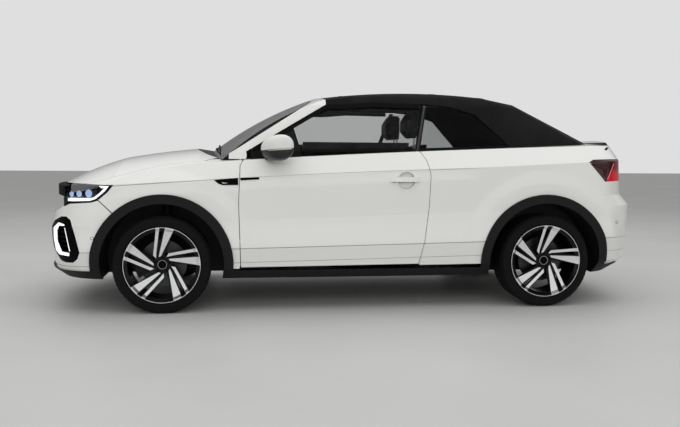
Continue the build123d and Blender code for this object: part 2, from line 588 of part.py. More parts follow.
def save_grilles(outer):
    """The upper grille, a mesh under a bar, and the slats of the lower mouth."""
    end_x, end_y = GRILLE_END
    bar = arc_band(GRILLE_NOSE_X, end_x, end_y, GRILLE_DEPTH, GRILLE_BAR_Z, GRILLE_TOP_Z)
    nose_x, side_x = GRILLE_NOSE_X + BAR_STEP, end_x + 2
    grille = bar + arc_band(nose_x, side_x, end_y, GRILLE_DEPTH, GRILLE_LOW_Z, GRILLE_BAR_Z)
    slot_room = arc_band(nose_x, side_x, end_y, SLOT_DEPTH, GRILLE_LOW_Z, GRILLE_TOP_Z)
    grille -= [slot_room & block(-ENDS, -1700, -half, half, z, z + SLOT_H) for z, half in GRILLE_SLOTS]
    low, high = MOUTH_Z
    half = MOUTH_HALF_W
    mouth_zone = outer & block(-ENDS, -1800, -half + SEAM, half - SEAM, low + SEAM, high - SEAM)
    mouth = Pos(8, 0, 0) * mouth_zone - Pos(44, 0, 0) * mouth_zone
    mouth -= [block(-ENDS, -1800, -half + 24, half - 24, z, z + 24) & (mouth_zone - Pos(26, 0, 0) * mouth_zone)
              for z in MOUTH_SLOTS]
    save("front_grilles", grille & side_prism(GRILLE_SIDE, -end_y, end_y), mouth)


def save_nose(outer, skin, lights):
    """Front bumper, and the corner intakes with the running lights in them."""
    outline = side_prism(INTAKE, -MOUTH_HALF_W - 12, -1000)
    shape = side_prism([(-ENDS, TRIM_TOP_Z + SEAM), (-ENDS, 703.0), (-1926.0, 703.0), (-1885.0, 722.0),
                        (-1745.0, 732.0)] + BUMPER_LINE + [(BUMPER_LINE[1][0], TRIM_TOP_Z + SEAM)], -1000, 1000)
    room = side_prism([(x, z - 1) for x, z in GRILLE_SIDE[:3]] + [(-1900.0, 715.0), (-1900.0, 900.0),
                      (-ENDS, 900.0)], -GRILLE_END[1], GRILLE_END[1])
    mouth = block(-ENDS, -1900, -MOUTH_HALF_W, MOUTH_HALF_W, *MOUTH_Z)
    save("front_bumper", (skin & shape) - both_wells(ARCH_TRIM_R + SEAM, 480, 1000) - pair(outline) - room - mouth)

    corner = outer & block(-2300, -1700, -1000, -200, 300, 700)
    cuts = [side_prism(points, -300, -1000) for points in (INTAKE_LIGHT, INTAKE_TRIM)]
    pocket = (corner - sunk(corner, 34, 1)) & side_prism(INTAKE_POCKET, -300, -1000)
    groove = corner - sunk(corner, 22, 1)
    panel = ((corner - sunk(corner, 52, 1)) & outline) - pocket - [groove & cut for cut in cuts]
    slats = [pocket & block(-2300, -1700, -1000, -300, z, z + 9) & sunk(corner, 10, 1) for z in INTAKE_SLATS]
    save("corner_intakes", *pair(panel + slats))
    light = sunk(corner, 4, 1) - sunk(corner, 22 - 2 * SEAM, 1)
    strips = lights + [light & cut for cut in cuts]
    save("running_lights", *[piece for strip in strips for piece in pair(strip)])


def save_tail(skin):
    """Rear bumper with a plain recess for a plate."""
    half = LID_HALF_W
    shape = side_prism([(1700, TRIM_TOP_Z + SEAM)] + REAR_BUMPER_LINE + [(ENDS, REAR_BUMPER_TOP),
                       (ENDS, TRIM_TOP_Z + SEAM)], -1000, 1000)
    bumper = (skin & shape) - both_wells(ARCH_TRIM_R + SEAM, 480, 1000)
    bumper -= block(1780, 2300, -half, half, LID_LOW_Z - LID_GAP, 900)
    bumper -= block(TAIL_X - 14, TAIL_X + 20, -262, 262, 560, 680)
    save("rear_bumper", bumper)


def save_trim(inner):
    """Black trim round the arches and along the sills, one piece right round below the paint."""
    shell = body_mass(TRIM_PROUD) - inner
    trim = shell & block(-2300, 2300, -1000, 1000, GROUND_CLEARANCE, TRIM_TOP_Z)
    trim -= both_wells(ARCH_R, 480, 1000)
    for x in (FRONT_AXLE_X, REAR_AXLE_X):
        ring = (cross_cylinder(x, TYRE_R, ARCH_TRIM_R, -600, -1000)
                - cross_cylinder(x, TYRE_R, ARCH_R, -599, -1001)) & block(x - 600, x + 600, -1000, 0, TRIM_TOP_Z, 900)
        trim += pair(ring & shell)
    save("arch_and_sill_trim", trim)


def save_doors(outer, cabin, glass_in):
    """Doors with their glass, mirrors and handles."""
    zone = side_prism(DOOR_OUTLINE, -300, -1000)
    door = ((outer & zone) - (side_mass(-DOOR_T) & zone)) - (cabin_mass(SEAM) - cabin_mass(-GLASS_T - SEAM))
    x0, x1, z0, z1 = HANDLE
    middle, skin_y = (x0 + x1) / 2, HALF_W - 6
    cup = Pos(middle + 10, -skin_y, (z0 + z1) / 2 - 6) * (Rot(90, 0, 0) * Cone(66, 52, 24))
    door -= cup
    save_sides("door", door)
    bow = [ThreePointArc((x0, -skin_y - 4), (middle, -skin_y - 34), (x1, -skin_y - 4)),
           Line((x1, -skin_y - 4), (x1, -skin_y + 14)), Line((x1, -skin_y + 14), (x1 - 34, -skin_y + 14)),
           ThreePointArc((x1 - 34, -skin_y + 14), (middle, -skin_y - 20), (x0 + 34, -skin_y + 14)),
           Line((x0 + 34, -skin_y + 14), (x0, -skin_y + 14)), Line((x0, -skin_y + 14), (x0, -skin_y - 4))]
    save_sides("door_handle", plan_prism(bow, z0, z1) - (side_mass(SEAM) & zone))

    side_glass = cabin - glass_in
    pane = side_glass & side_prism(DOOR_GLASS, -450, -1000)
    save_sides("door_window", pane - block(-900, 600, -1000, 0, 900, 1040))
    sections = [Plane(origin=((x0 + x1) / 2, -y, (z0 + z1) / 2), x_dir=(1, 0, 0), z_dir=(0, -1, 0))
                * RectangleRounded(x1 - x0, z1 - z0, 0.46 * min(x1 - x0, z1 - z0))
                for y, x0, x1, z0, z1 in MIRROR_SECTIONS]
    case = loft(sections)
    foot = block(-622, -560, -750, -850, 1018, 1046)
    sail = side_glass & side_prism(SAIL, -450, -1000)
    save_sides("mirror", (case + foot + sail) - (side_mass(SEAM) & outer))


def save_glasshouse(outer, cabin, glass_in):
    """Windscreen and its frame, soft top, fixed glass and wipers."""
    shell = cabin - cabin_mass(-FABRIC_T)
    glass = cabin - glass_in
    save("windscreen_frame", shell & side_prism(PILLAR, -1000, 1000))
    save("windscreen", (glass & side_prism(SCREEN_EDGE, -1000, 1000)) - outer)
    x0, x1, half = REAR_PANE
    room = block(x0, x1, -half, half, 1150, 1600)
    pane = block(x0 + SEAM, x1 - SEAM, -half + SEAM, half - SEAM, 1150, 1600)
    save("soft_top", (shell & side_prism(TOP_EDGE, -1000, 1000)) - room - outer)
    save("rear_window", glass & pane)
    save("quarter_windows", *pair((glass & side_prism(QUARTER_GLASS, -450, -1000)) - outer))
    save("divider_strips", *pair((shell & side_prism(DIVIDER, -450, -1000)) - outer))
    over = Pos(-7, 0, 11) * cabin - Pos(0, 0, 2 * SEAM) * cabin
    wipers = []
    for y, turn, span in ((-300, 3.0, 590), (300, -3.0, 520)):
        blade = Pos(-905, y, 1100) * (Rot(0, 0, turn) * Box(16, span, 400))
        arm = Pos(-945, y - 60, 1100) * (Rot(0, 0, 24) * Box(18, 200, 400))
        wipers.append((over & (blade + arm)) - outer)
    save("wipers", *wipers)


# ------------------------------------------------------ floor and running gear
def jack_block(x, side, z0, z1):
    return block(x - 40, x + 40, side * 700, side * 750, z0, z1)


def save_floor(well_room):
    """Floor, firewall, front frame rails, undertrays and wheel liners."""
    inside = body_mass(-PANEL_T - SEAM)
    floor = block(-1000, 840, -770, 770, GROUND_CLEARANCE, FLOOR_Z)
    floor += block(800, 1960, -640, 640, REAR_FLOOR_Z - FLOOR_T, REAR_FLOOR_Z)
    floor += block(800, 840, -640, 640, GROUND_CLEARANCE, REAR_FLOOR_Z)
    floor += block(FIREWALL_X, FIREWALL_X + 30, -700, 700, GROUND_CLEARANCE, 930)
    for side in SIDES:
        top_x, top_y = kingpin(side)[1][:2]
        floor += block(-1700, FIREWALL_X + 5, side * 462, side * 472, 285, 850)
        floor += block(top_x - 75, top_x + 75, side * 465, side * 625, 815, 835)
        floor -= kingpin_rod(side, 0.7, 1.1, STRUT_SHAFT_R + SEAM)
    floor = (floor & inside) - well_room
    for x in JACK_X:
        for side in SIDES:
            floor += jack_block(x, side, GROUND_CLEARANCE - JACK_PAD_H, GROUND_CLEARANCE + 1)
    save("floor_and_firewall", floor)
    tray = block(-2100, -1002, -900, 900, GROUND_CLEARANCE, GROUND_CLEARANCE + 10)
    tray += block(842, 2050, -900, 900, GROUND_CLEARANCE, GROUND_CLEARANCE + 10)
    save("undertrays", (tray & inside) - well_room)
    liners = []
    for x, y0 in WELLS:
        liner = (cross_cylinder(x, TYRE_R, ARCH_R + LINER_T, -y0, -846)
                 - cross_cylinder(x, TYRE_R, ARCH_R, -y0 - LINER_T, -850)
                 - kingpin_rod(-1, 0.2, 1.1, STRUT_R + 40) - cross_cylinder(x, TYRE_R, AXLE_R + 8, -400, -800))
        zone = block(x - 600, x + 600, -1000, 0, GROUND_CLEARANCE + 12, 900)
        liners.extend(pair(liner & zone & inside))
    save("wheel_liners", *liners)


def save_running_gear():
    """Engine, subframe, rear axle with its dampers, knuckles and wheels."""
    subframe_top = GROUND_CLEARANCE + 75
    save("engine_block", block(-1690, -1180, -330, 330, subframe_top + SEAM, 820))
    save("front_subframe", block(-1640, -1003, -430, 430, GROUND_CLEARANCE + 10, subframe_top))
    beam = rod((REAR_AXLE_X, -HALF_TRACK + 90, TYRE_R), (REAR_AXLE_X, HALF_TRACK - 90, TYRE_R), AXLE_R)
    stubs = rod((REAR_AXLE_X, -HALF_TRACK - 44, TYRE_R), (REAR_AXLE_X, HALF_TRACK + 44, TYRE_R), SPINDLE_R)
    save("rear_axle", beam + stubs)
    damper_z = TYRE_R + AXLE_R + SEAM
    underside = REAR_FLOOR_Z - FLOOR_T - SEAM
    damper = Pos(REAR_AXLE_X, -540, 0) * (
        Pos(0, 0, (damper_z + underside) / 2) * Cylinder(22, underside - damper_z)
        + Pos(0, 0, underside - 5) * Cylinder(40, 10))
    save("rear_dampers", *pair(damper))
    save_sides("knuckle", knuckle())
    pieces = {axle: rim(turn) for axle, turn in (("front", 0.0), ("rear", -5.5))}
    rubber, disc = tyre(), brake_disc()
    for x, axle in ((FRONT_AXLE_X, "front"), (REAR_AXLE_X, "rear")):
        for side in SIDES:
            name = f"{axle}_{NAMES[side]}"
            save(f"rim_{name}", wheel_at(pieces[axle], x, side))
            save(f"tyre_{name}", wheel_at(rubber, x, side))
            save(f"brake_disc_{name}", wheel_at(disc, x, side))


def save_interior():
    """Dashboard, console, seats, bench and steering."""
    dash = [(-865, 700), (-868, 950), (-700, 984), (-560, 976), (-520, 900), (-560, 780), (-640, 700)]
    column_room = rod(column_point(260), column_point(20), COLUMN_R + SEAM)
    save("dashboard", side_prism(dash, -690, 690) - column_room)
    console = block(-640, 330, -105, 105, FLOOR_Z + SEAM, 520) + block(-40, 330, -100, 100, 500, 600)
    save("centre_console", console)
    save("front_seats", *pair(chair()))
    foot = REAR_FLOOR_Z + SEAM
    bench = [(850, foot), (830, 560), (1120, 545), (1200, 1150), (1290, 1150), (1300, foot)]
    save("rear_bench", side_prism(bench, -560, 560))
    save("steering_wheel", steering_wheel())
    save("steering_column", rod(column_point(220), column_point(26), COLUMN_R)
         + rod(column_point(60), column_point(2), SHAFT_R))


def main():
    os.makedirs("parts", exist_ok=True)
    outer, inner = body_mass(), body_mass(-PANEL_T)
    skin = outer - inner
    cabin, glass_in = cabin_mass(), cabin_mass(-GLASS_T)
    save_panels(outer, skin, cabin)
    save_grilles(outer)
    save_nose(outer, skin, save_lamps(outer))
    save_tail(skin)
    save_trim(inner)
    save_doors(outer, cabin, glass_in)
    save_glasshouse(outer, cabin, glass_in)
    well_room = [w for x, y0 in WELLS for w in pair(
        cross_cylinder(x, TYRE_R, ARCH_R + LINER_T + SEAM, -y0 + SEAM, -1000))]
    save_floor(well_room)
    save_running_gear()
    save_interior()


main()
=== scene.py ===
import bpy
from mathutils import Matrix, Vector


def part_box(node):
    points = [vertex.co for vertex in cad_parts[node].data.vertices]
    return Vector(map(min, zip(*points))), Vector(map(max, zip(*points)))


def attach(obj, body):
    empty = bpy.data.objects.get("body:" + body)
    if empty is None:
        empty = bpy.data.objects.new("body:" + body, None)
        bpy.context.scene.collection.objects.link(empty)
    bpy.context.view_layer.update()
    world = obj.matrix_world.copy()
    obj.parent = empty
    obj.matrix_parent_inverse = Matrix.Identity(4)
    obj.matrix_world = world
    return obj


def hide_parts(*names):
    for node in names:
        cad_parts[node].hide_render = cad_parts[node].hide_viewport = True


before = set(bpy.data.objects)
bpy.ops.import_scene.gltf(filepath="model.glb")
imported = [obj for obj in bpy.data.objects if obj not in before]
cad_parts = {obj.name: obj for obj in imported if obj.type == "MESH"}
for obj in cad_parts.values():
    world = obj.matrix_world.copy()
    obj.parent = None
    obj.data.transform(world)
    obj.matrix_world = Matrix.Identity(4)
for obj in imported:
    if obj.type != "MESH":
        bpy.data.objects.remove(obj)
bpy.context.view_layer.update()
"""Dresses the frame of a soft-top crossover convertible: finishes, fine forms, cloth, light and camera."""
from dataclasses import dataclass, field
from enum import Enum
import logging
import math
from typing import Callable, Sequence

import bpy
import bmesh
import numpy as np
from mathutils import Matrix, Vector
from mathutils.bvhtree import BVHTree

logging.basicConfig(level=logging.INFO, format="%(message)s")
LOG = logging.getLogger("scene")
MM = 0.001
HUB_HEIGHT = 0.322           # metres
FRONT_AXLE_X = -1.296
REAR_AXLE_X = 1.334
ABOVE = 1.6                  # a height over the whole car
MATH = "ShaderNodeMath"
RANGE = "ShaderNodeMapRange"
MIX = "ShaderNodeMix"
SPLIT = "ShaderNodeSeparateXYZ"
JOIN = "ShaderNodeCombineXYZ"
SMOOTH = {"interpolation_type": "SMOOTHSTEP"}
Point = tuple[float, float]
Triple = tuple[float, float, float]


class Side(Enum):
    """A side of the car: the sign of its y and its name in node names."""

    LEFT = (-1, "left")
    RIGHT = (1, "right")

    @property
    def sign(self) -> int:
        """The sign of y on this side."""
        return self.value[0]

    @property
    def word(self) -> str:
        """The side's name as nodes write it."""
        return self.value[1]


class Axle(Enum):
    """An axle: the name in node names."""

    FRONT = "front"
    REAR = "rear"


# ------------------------------------------------------------------ materials
def linear(colour: str) -> tuple[float, float, float, float]:
    """A linear colour from an sRGB hex string.

    Args:
        colour: the colour as #RRGGBB.
    Returns:
        Red, green, blue and an alpha of 1, linear.
    """
    parts = [int(colour[i:i + 2], 16) / 255 for i in (1, 3, 5)]
    return (*[p / 12.92 if p <= 0.04045 else ((p + 0.055) / 1.055) ** 2.4 for p in parts], 1.0)


def feed(tree: bpy.types.NodeTree, node: bpy.types.Node, links: dict) -> None:
    """Feeds inputs of a node.

    Args:
        tree: the tree that holds it.
        node: the node.
        links: input name or index to the socket, the node (by its first output) or the value that feeds it.
    """
    for key, source in links.items():
        if isinstance(source, bpy.types.Node):
            source = source.outputs[0]
        if isinstance(source, bpy.types.NodeSocket):
            tree.links.new(source, node.inputs[key])
        else:
            node.inputs[key].default_value = source


def add(tree: bpy.types.NodeTree, kind: str, links: dict | None = None, **values) -> bpy.types.Node:
    """Adds one node.

    Args:
        tree: the tree it goes into.
        kind: the node's type name.
        links: what feeds its inputs, as feed() takes it.
        values: properties of the node.
    Returns:
        The new node.
    """
    node = tree.nodes.new(kind)
    for key, value in values.items():
        setattr(node, key, value)
    feed(tree, node, links or {})
    return node


def coordinates(tree: bpy.types.NodeTree) -> tuple[bpy.types.NodeSocket, ...]:
    """Object coordinates as (vector, x, y, z), in metres."""
    place = add(tree, "ShaderNodeTexCoord").outputs["Object"]
    return (place, *add(tree, SPLIT, {0: place}).outputs)


def from_hub(tree: bpy.types.NodeTree, axle_x: float) -> tuple[bpy.types.Node, ...]:
    """Measures from a wheel's hub in side view.

    Args:
        tree: the material's tree.
        axle_x: x of the wheel's axle, in metres.
    Returns:
        Nodes for the way along x, the way up and the distance.
    """
    _, x, _, z = coordinates(tree)
    along = add(tree, MATH, {0: x, 1: axle_x}, operation="SUBTRACT")
    up = add(tree, MATH, {0: z, 1: HUB_HEIGHT}, operation="SUBTRACT")
    square = add(tree, MATH, {0: along, 1: along}, operation="MULTIPLY")
    both = add(tree, MATH, {0: up, 1: up, 2: square}, operation="MULTIPLY_ADD")
    return along, up, add(tree, MATH, {0: both}, operation="SQRT")


@dataclass(frozen=True)
class Finish:
    """One real finish: its name says what it is and how it is made."""

    name: str
    colour: str
    rough: float
    metal: float = 0.0
    coat: float = 0.0
    clear: float = 0.0
    glow: float = 0.0
    grain: float = 0.0       # size of the surface's grain in mm, 0 for none
    relief: float = 0.0      # height of that grain in mm
    mottle: float = 0.0      # share by which roughness wanders
    shine: float = 0.5       # specular level
    ior: float = 1.5

    def build(self) -> bpy.types.Material:
        """Makes the material.

        Returns:
            The Blender material with its base shader and grain.
        """
        mat = bpy.data.materials.new(self.name)
        mat.use_nodes = True
        colour = linear(self.colour)
        feed(mat.node_tree, mat.node_tree.nodes["Principled BSDF"], {
            "Base Color": colour, "Roughness": self.rough, "Metallic": self.metal, "Coat Weight": self.coat,
            "Coat Roughness": 0.04, "Transmission Weight": self.clear, "Emission Strength": self.glow,
            "Emission Color": colour, "Specular IOR Level": self.shine, "IOR": self.ior})
        if self.grain:
            self.add_grain(mat.node_tree)
        return mat

    def add_grain(self, tree: bpy.types.NodeTree) -> None:
        """Adds fine grain as bump, and roughness that wanders at ten times its size."""
        shader = tree.nodes["Principled BSDF"]
        place = add(tree, "ShaderNodeTexCoord").outputs["Object"]
        fine = add(tree, "ShaderNodeTexNoise", {"Vector": place, "Scale": 1 / (self.grain * MM), "Detail": 2.0})
        bump = add(tree, "ShaderNodeBump", {"Height": fine, "Distance": self.relief * MM, "Strength": 0.6})
        feed(tree, shader, {"Normal": bump})
        if self.mottle:
            broad = add(tree, "ShaderNodeTexNoise",
                        {"Vector": place, "Scale": 0.1 / (self.grain * MM), "Detail": 1.0})
            smooth, dull = self.rough * (1 - self.mottle), self.rough * (1 + self.mottle)
            feed(tree, shader, {"Roughness": add(tree, RANGE, {0: broad, 3: smooth, 4: dull})})


FINISHES = {
    # A clear coat over pearl white: a sharp reflection over a soft white body
    "paint": Finish("pearl_white_car_paint_clear_coated", "#EEEEEB", 0.4, coat=1.0),
    # Grained plastic: dull and slightly uneven, which sets it off from the paint
    "plastic": Finish("black_grained_bumper_plastic_moulded", "#101112", 0.55, grain=0.9, relief=0.05, mottle=0.25,
                      shine=0.3),
    # Gloss black plastic: dark with a clean highlight along each edge
    "gloss": Finish("piano_black_plastic_polished", "#040405", 0.35, shine=0.06),
    # Black plastic of the grille: dull, so its depth reads
    "grille": Finish("black_grille_plastic_moulded", "#050506", 0.5, shine=0.02),
    # Waxed steel under the floor: a dull sheen
    "chassis": Finish("black_wax_coated_steel_pressed", "#17181A", 0.6, metal=0.2, grain=2.0, relief=0.08,
                      mottle=0.2),
    # Cast iron with machined faces: catches light in bands
    "iron": Finish("grey_cast_iron_brake_disc_machined", "#4C4C4F", 0.38, metal=1.0, grain=1.2, relief=0.02,
                   mottle=0.3),
    # Rubber: almost no highlight, broad grey sheen
    "rubber": Finish("black_tyre_rubber_vulcanised", "#101011", 0.82, grain=1.4, relief=0.06, mottle=0.15,
                     shine=0.25),
    # Tinted safety glass: clear, slightly grey, sharp reflections
    "glass": Finish("grey_tinted_safety_glass_laminated", "#DADBDB", 0.0, clear=1.0, ior=1.25),
    # Darker glass behind the doors: the cabin reads as a shadow
    "privacy": Finish("dark_tinted_safety_glass_toughened", "#C4C6C6", 0.0, clear=1.0, ior=1.2),
    # Windscreen glass, tinted far darker than real glass: painted shade that makes the cabin behind it go dark, and
    # the sky lies on it
    "screen": Finish("green_tinted_windscreen_glass_laminated", "#6E7271", 0.0, clear=1.0),
    # Clear lamp cover: only a faint reflection tells that it is there
    "lens": Finish("clear_polycarbonate_lamp_lens_moulded", "#FAFBFC", 0.0, clear=1.0, ior=1.1),
    # Daytime light guide: plain white that glows a little
    "light": Finish("white_acrylic_light_guide_moulded", "#F5F7FA", 0.3, glow=0.9),
    # Light guide of the tail lamp: brighter than the lens round it
    "tail_guide": Finish("red_acrylic_light_guide_moulded", "#F07082", 0.3, glow=0.3),
    # Glass of a projector: a blue cast from its coating, with a glow that is a painted reflection of that coating
    "projector": Finish("blue_tinted_projector_lens_glass", "#A9C4F0", 0.05, glow=0.25, coat=1.0),
    # Satin chrome on small trim: a soft bright line
    "satin": Finish("satin_chrome_on_plastic_plated", "#D4D6D8", 0.25, metal=1.0),
    # Black housing inside the lamp: dark with a faint cool highlight
    "bezel": Finish("dark_chrome_lamp_bezel_plated", "#0B0C10", 0.3, shine=0.15),
    # Red lens over reflectors: deep red
    "red_lens": Finish("red_polycarbonate_tail_lens_moulded", "#4A0C12", 0.06, clear=0.1),
    # Reflector: bright red with a slight glow, a painted highlight that keeps its colour in shadow
    "red": Finish("red_reflector_plastic_with_painted_glow", "#C4121E", 0.25, glow=0.2),
    # Strip between the windows: a soft line of light
    "silver": Finish("satin_aluminium_trim_anodised", "#B9BBBD", 0.3, metal=1.0, grain=0.6, relief=0.01),
    # Cabin plastic: dark and matt, so only forms read through the glass
    "cabin": Finish("black_cabin_plastic_soft_touch", "#0A0A0B", 0.7, grain=0.8, relief=0.08, mottle=0.1,
                    shine=0.25),
    # Leather on head rests and steering wheel: a little smoother than the cloth beside it
    "leather": Finish("black_seat_leather_perforated", "#0A0A0B", 0.5, grain=2.2, relief=0.12, mottle=0.2,
                      shine=0.3),
    # Rubber seals: a dark line along every pane and gap. The same black also makes the painted shade under the door
    # handle, beside the hood and at the spoiler's end
    "seal": Finish("black_rubber_weather_strip_extruded", "#070708", 0.6, shine=0.2),
    # Blank plate: flat pale grey with a fine sparkle
    "plate": Finish("white_plate_blank_reflective_sheet", "#D4D5D2", 0.5, grain=3.0, relief=0.02, mottle=0.1),
}


@dataclass(frozen=True)
class PressedPaint:
    """White paint over pressed creases: two lines above the sill, a fold along the shoulder and soft haunches.

    Heights and places are in metres. Each pair says where a form starts and where it is full.
    """

    name: str = FINISHES["paint"].name
    haunch: Point = (0.645, 0.535)               # from the hub
    haunch_rise: float = 0.013
    sill_slope: float = 0.0206
    sill_forms: tuple[Triple, ...] = (           # start, full, rise
        (0.600, 0.452, 0.016), (0.447, 0.441, -0.0075), (0.352, 0.346, -0.004))
    fold_slope: float = 0.045
    fold_bow: float = 0.01
    fold_top: Point = (0.9410, 0.9335)
    fold_foot: Point = (0.850, 0.932)
    fold_end: Point = (0.95, 0.60)
    fold_rise: float = -0.0075

    def build(self) -> bpy.types.Material:
        """Makes the paint.

        Returns:
            The material of painted panels.
        """
        mat = FINISHES["paint"].build()
        mat.name = self.name
        tree = mat.node_tree
        _, x, _, z = coordinates(tree)
        height = 0.0
        for axle_x in (FRONT_AXLE_X, REAR_AXLE_X):
            start, full = self.haunch
            near = add(tree, RANGE, {0: from_hub(tree, axle_x)[2], 1: start, 2: full}, **SMOOTH)
            height = add(tree, MATH, {0: near, 1: self.haunch_rise, 2: height}, operation="MULTIPLY_ADD")
        sill = add(tree, MATH, {0: x, 1: -self.sill_slope, 2: z}, operation="MULTIPLY_ADD")
        for start, full, rise in self.sill_forms:
            form = add(tree, RANGE, {0: sill, 1: start, 2: full}, **SMOOTH)
            height = add(tree, MATH, {0: form, 1: rise, 2: height}, operation="MULTIPLY_ADD")
        slope = add(tree, MATH, {0: x, 1: self.fold_bow, 2: -self.fold_slope}, operation="MULTIPLY_ADD")
        level = add(tree, MATH, {0: x, 1: slope, 2: z}, operation="MULTIPLY_ADD")
        fold = self.fold_rise
        for place, (start, full) in ((level, self.fold_top), (level, self.fold_foot), (x, self.fold_end)):
            edge = add(tree, RANGE, {0: place, 1: start, 2: full}, **SMOOTH)
            fold = add(tree, MATH, {0: edge, 1: fold}, operation="MULTIPLY")
        height = add(tree, MATH, {0: height, 1: fold}, operation="ADD")
        bump = add(tree, "ShaderNodeBump", {"Height": height, "Distance": 1.0, "Strength": 1.0})
        feed(tree, tree.nodes["Principled BSDF"], {"Normal": bump, "Coat Normal": bump})
        return mat


@dataclass(frozen=True)
class Lined:
    """A finish whose inward faces carry a dull black lining, as felt and trim do."""

    finish: Finish | PressedPaint
    colour: str                                  # the finish's own sRGB hex
    inward: Triple                               # the way into the car along x, towards its side and along z
    lining: str = "#141415"
    lining_rough: float = 0.8
    turn_over: Point = (0.25, 0.35)              # how far a face looks inwards where the lining starts

    def build(self) -> bpy.types.Material:
        """Makes the material.

        Returns:
            The finish with its lining.
        """
        mat = self.finish.build()
        tree = mat.node_tree
        shader = tree.nodes["Principled BSDF"]
        _, _, y, _ = coordinates(tree)
        along, across, up = add(tree, SPLIT, {0: add(tree, "ShaderNodeTexCoord").outputs["Normal"]}).outputs
        side = add(tree, MATH, {0: y}, operation="SIGN")
        outward = add(tree, MATH, {0: across, 1: side}, operation="MULTIPLY")
        facing = 0.0
        for part, share in zip((along, outward, up), self.inward):
            facing = add(tree, MATH, {0: part, 1: share, 2: facing}, operation="MULTIPLY_ADD")
        start, full = self.turn_over
        inside = add(tree, RANGE, {0: facing, 1: start, 2: full}, **SMOOTH)
        colour = add(tree, MIX, {0: inside, 6: linear(self.colour), 7: linear(self.lining)}, data_type="RGBA")
        rough = add(tree, MIX, {0: inside, 2: shader.inputs["Roughness"].default_value, 3: self.lining_rough})
        coat = add(tree, MIX, {0: inside, 2: shader.inputs["Coat Weight"].default_value, 3: 0.0})
        feed(tree, shader, {"Base Color": colour.outputs[2], "Emission Color": colour.outputs[2],
                            "Roughness": rough, "Coat Weight": coat})
        return mat


@dataclass(frozen=True)
class DiamondCut:
    """Gloss black wheel with turned bright faces: five wedges, five narrow bars beside them and a thin lip.

    Places are in metres from the hub.
    """

    axle_x: float
    turn: float                                  # angle of the first wedge in degrees
    black: str = "#060607"
    bright: str = "#F2F3F4"
    black_rough: float = 0.25
    turned_rough: Point = (0.24, 0.32)           # along the fine rings that the tool leaves
    ring_scale: float = 250.0
    spoke: Point = (62.0, -10.0)                 # the angles that one spoke takes, in degrees
    # Lower and upper edge of the wedge and of the bar: start along the spoke, place across it, slope
    faces: tuple[tuple[Triple, Triple], ...] = (
        ((0.036, 0.028, -0.145), (0.040, 0.038, 0.081)), ((0.050, 0.056, 0.184), (0.042, 0.076, 0.196)))
    edge: float = 0.0008
    inner_end: Point = (0.055, 0.058)
    outer_end: Point = (0.2485, 0.2475)
    lip: Point = (0.2462, 0.2470)
    flat: Point = (0.68, 0.72)                   # how squarely a turned face looks outwards

    def build(self) -> bpy.types.Material:
        """Makes the material.

        Returns:
            The material of one axle's rims.
        """
        mat = Finish("diamond_cut_alloy_wheel_over_black_lacquer", self.black, self.black_rough, coat=0.1,
                     shine=0.2).build()
        tree = mat.node_tree
        along, up, reach = from_hub(tree, self.axle_x)
        bright = self.spoke_faces(tree, along, up, reach)
        for place, (start, full) in ((reach, self.inner_end), (reach, self.outer_end)):
            end = add(tree, RANGE, {0: place, 1: start, 2: full}, **SMOOTH)
            bright = add(tree, MATH, {0: bright, 1: end}, operation="MULTIPLY")
        lip = add(tree, RANGE, {0: reach, 1: self.lip[0], 2: self.lip[1]}, **SMOOTH)
        bright = add(tree, MATH, {0: bright, 1: lip}, operation="ADD", use_clamp=True)
        across = add(tree, SPLIT, {0: add(tree, "ShaderNodeNewGeometry").outputs["True Normal"]}).outputs[1]
        square = add(tree, MATH, {0: across}, operation="ABSOLUTE")
        flat = add(tree, RANGE, {0: square, 1: self.flat[0], 2: self.flat[1]}, **SMOOTH)
        cut = add(tree, MATH, {0: bright, 1: flat}, operation="MULTIPLY")
        rings = add(tree, "ShaderNodeTexWave",
                    {"Vector": add(tree, JOIN, {0: reach}), "Scale": self.ring_scale, "Distortion": 0.0})
        turned = add(tree, RANGE, {0: rings.outputs[1], 3: self.turned_rough[0], 4: self.turned_rough[1]})
        colour = add(tree, MIX, {0: cut, 6: linear(self.black), 7: linear(self.bright)}, data_type="RGBA")
        rough = add(tree, MIX, {0: cut, 2: self.black_rough, 3: turned})
        feed(tree, tree.nodes["Principled BSDF"],
             {"Base Color": colour.outputs[2], "Metallic": cut, "Roughness": rough})
        return mat

    def spoke_faces(self, tree: bpy.types.NodeTree, along: bpy.types.Node, up: bpy.types.Node,
                    reach: bpy.types.Node) -> bpy.types.Node:
        """Marks the wedge and the bar of every spoke.

        Args:
            tree: the material's tree.
            along: the way along x from the hub.
            up: the way up from the hub.
            reach: the distance from the hub.
        Returns:
            A node that is 1 on them.
        """
        bearing = add(tree, MATH, {0: up, 1: along}, operation="ARCTAN2")
        turned = add(tree, MATH, {0: bearing, 1: math.radians(self.turn)}, operation="SUBTRACT")
        most, least = (math.radians(angle) for angle in self.spoke)
        angle = add(tree, MATH, {0: turned, 1: most, 2: least}, operation="WRAP")
        cosine, sine = (add(tree, MATH, {0: angle}, operation=function) for function in ("COSINE", "SINE"))
        length = add(tree, MATH, {0: reach, 1: cosine}, operation="MULTIPLY")
        width = add(tree, MATH, {0: reach, 1: sine}, operation="MULTIPLY")
        marked = 0.0
        for face in self.faces:
            inside = 1.0
            for (start, place, slope), soft in zip(face, (self.edge, -self.edge)):
                lean = add(tree, MATH, {0: length, 1: -slope, 2: width}, operation="MULTIPLY_ADD")
                line = place - slope * start
                beyond = add(tree, RANGE, {0: lean, 1: line - soft, 2: line + soft}, **SMOOTH)
                inside = add(tree, MATH, {0: beyond, 1: inside}, operation="MULTIPLY")
            marked = add(tree, MATH, {0: inside, 1: marked}, operation="ADD", use_clamp=True)
        return marked


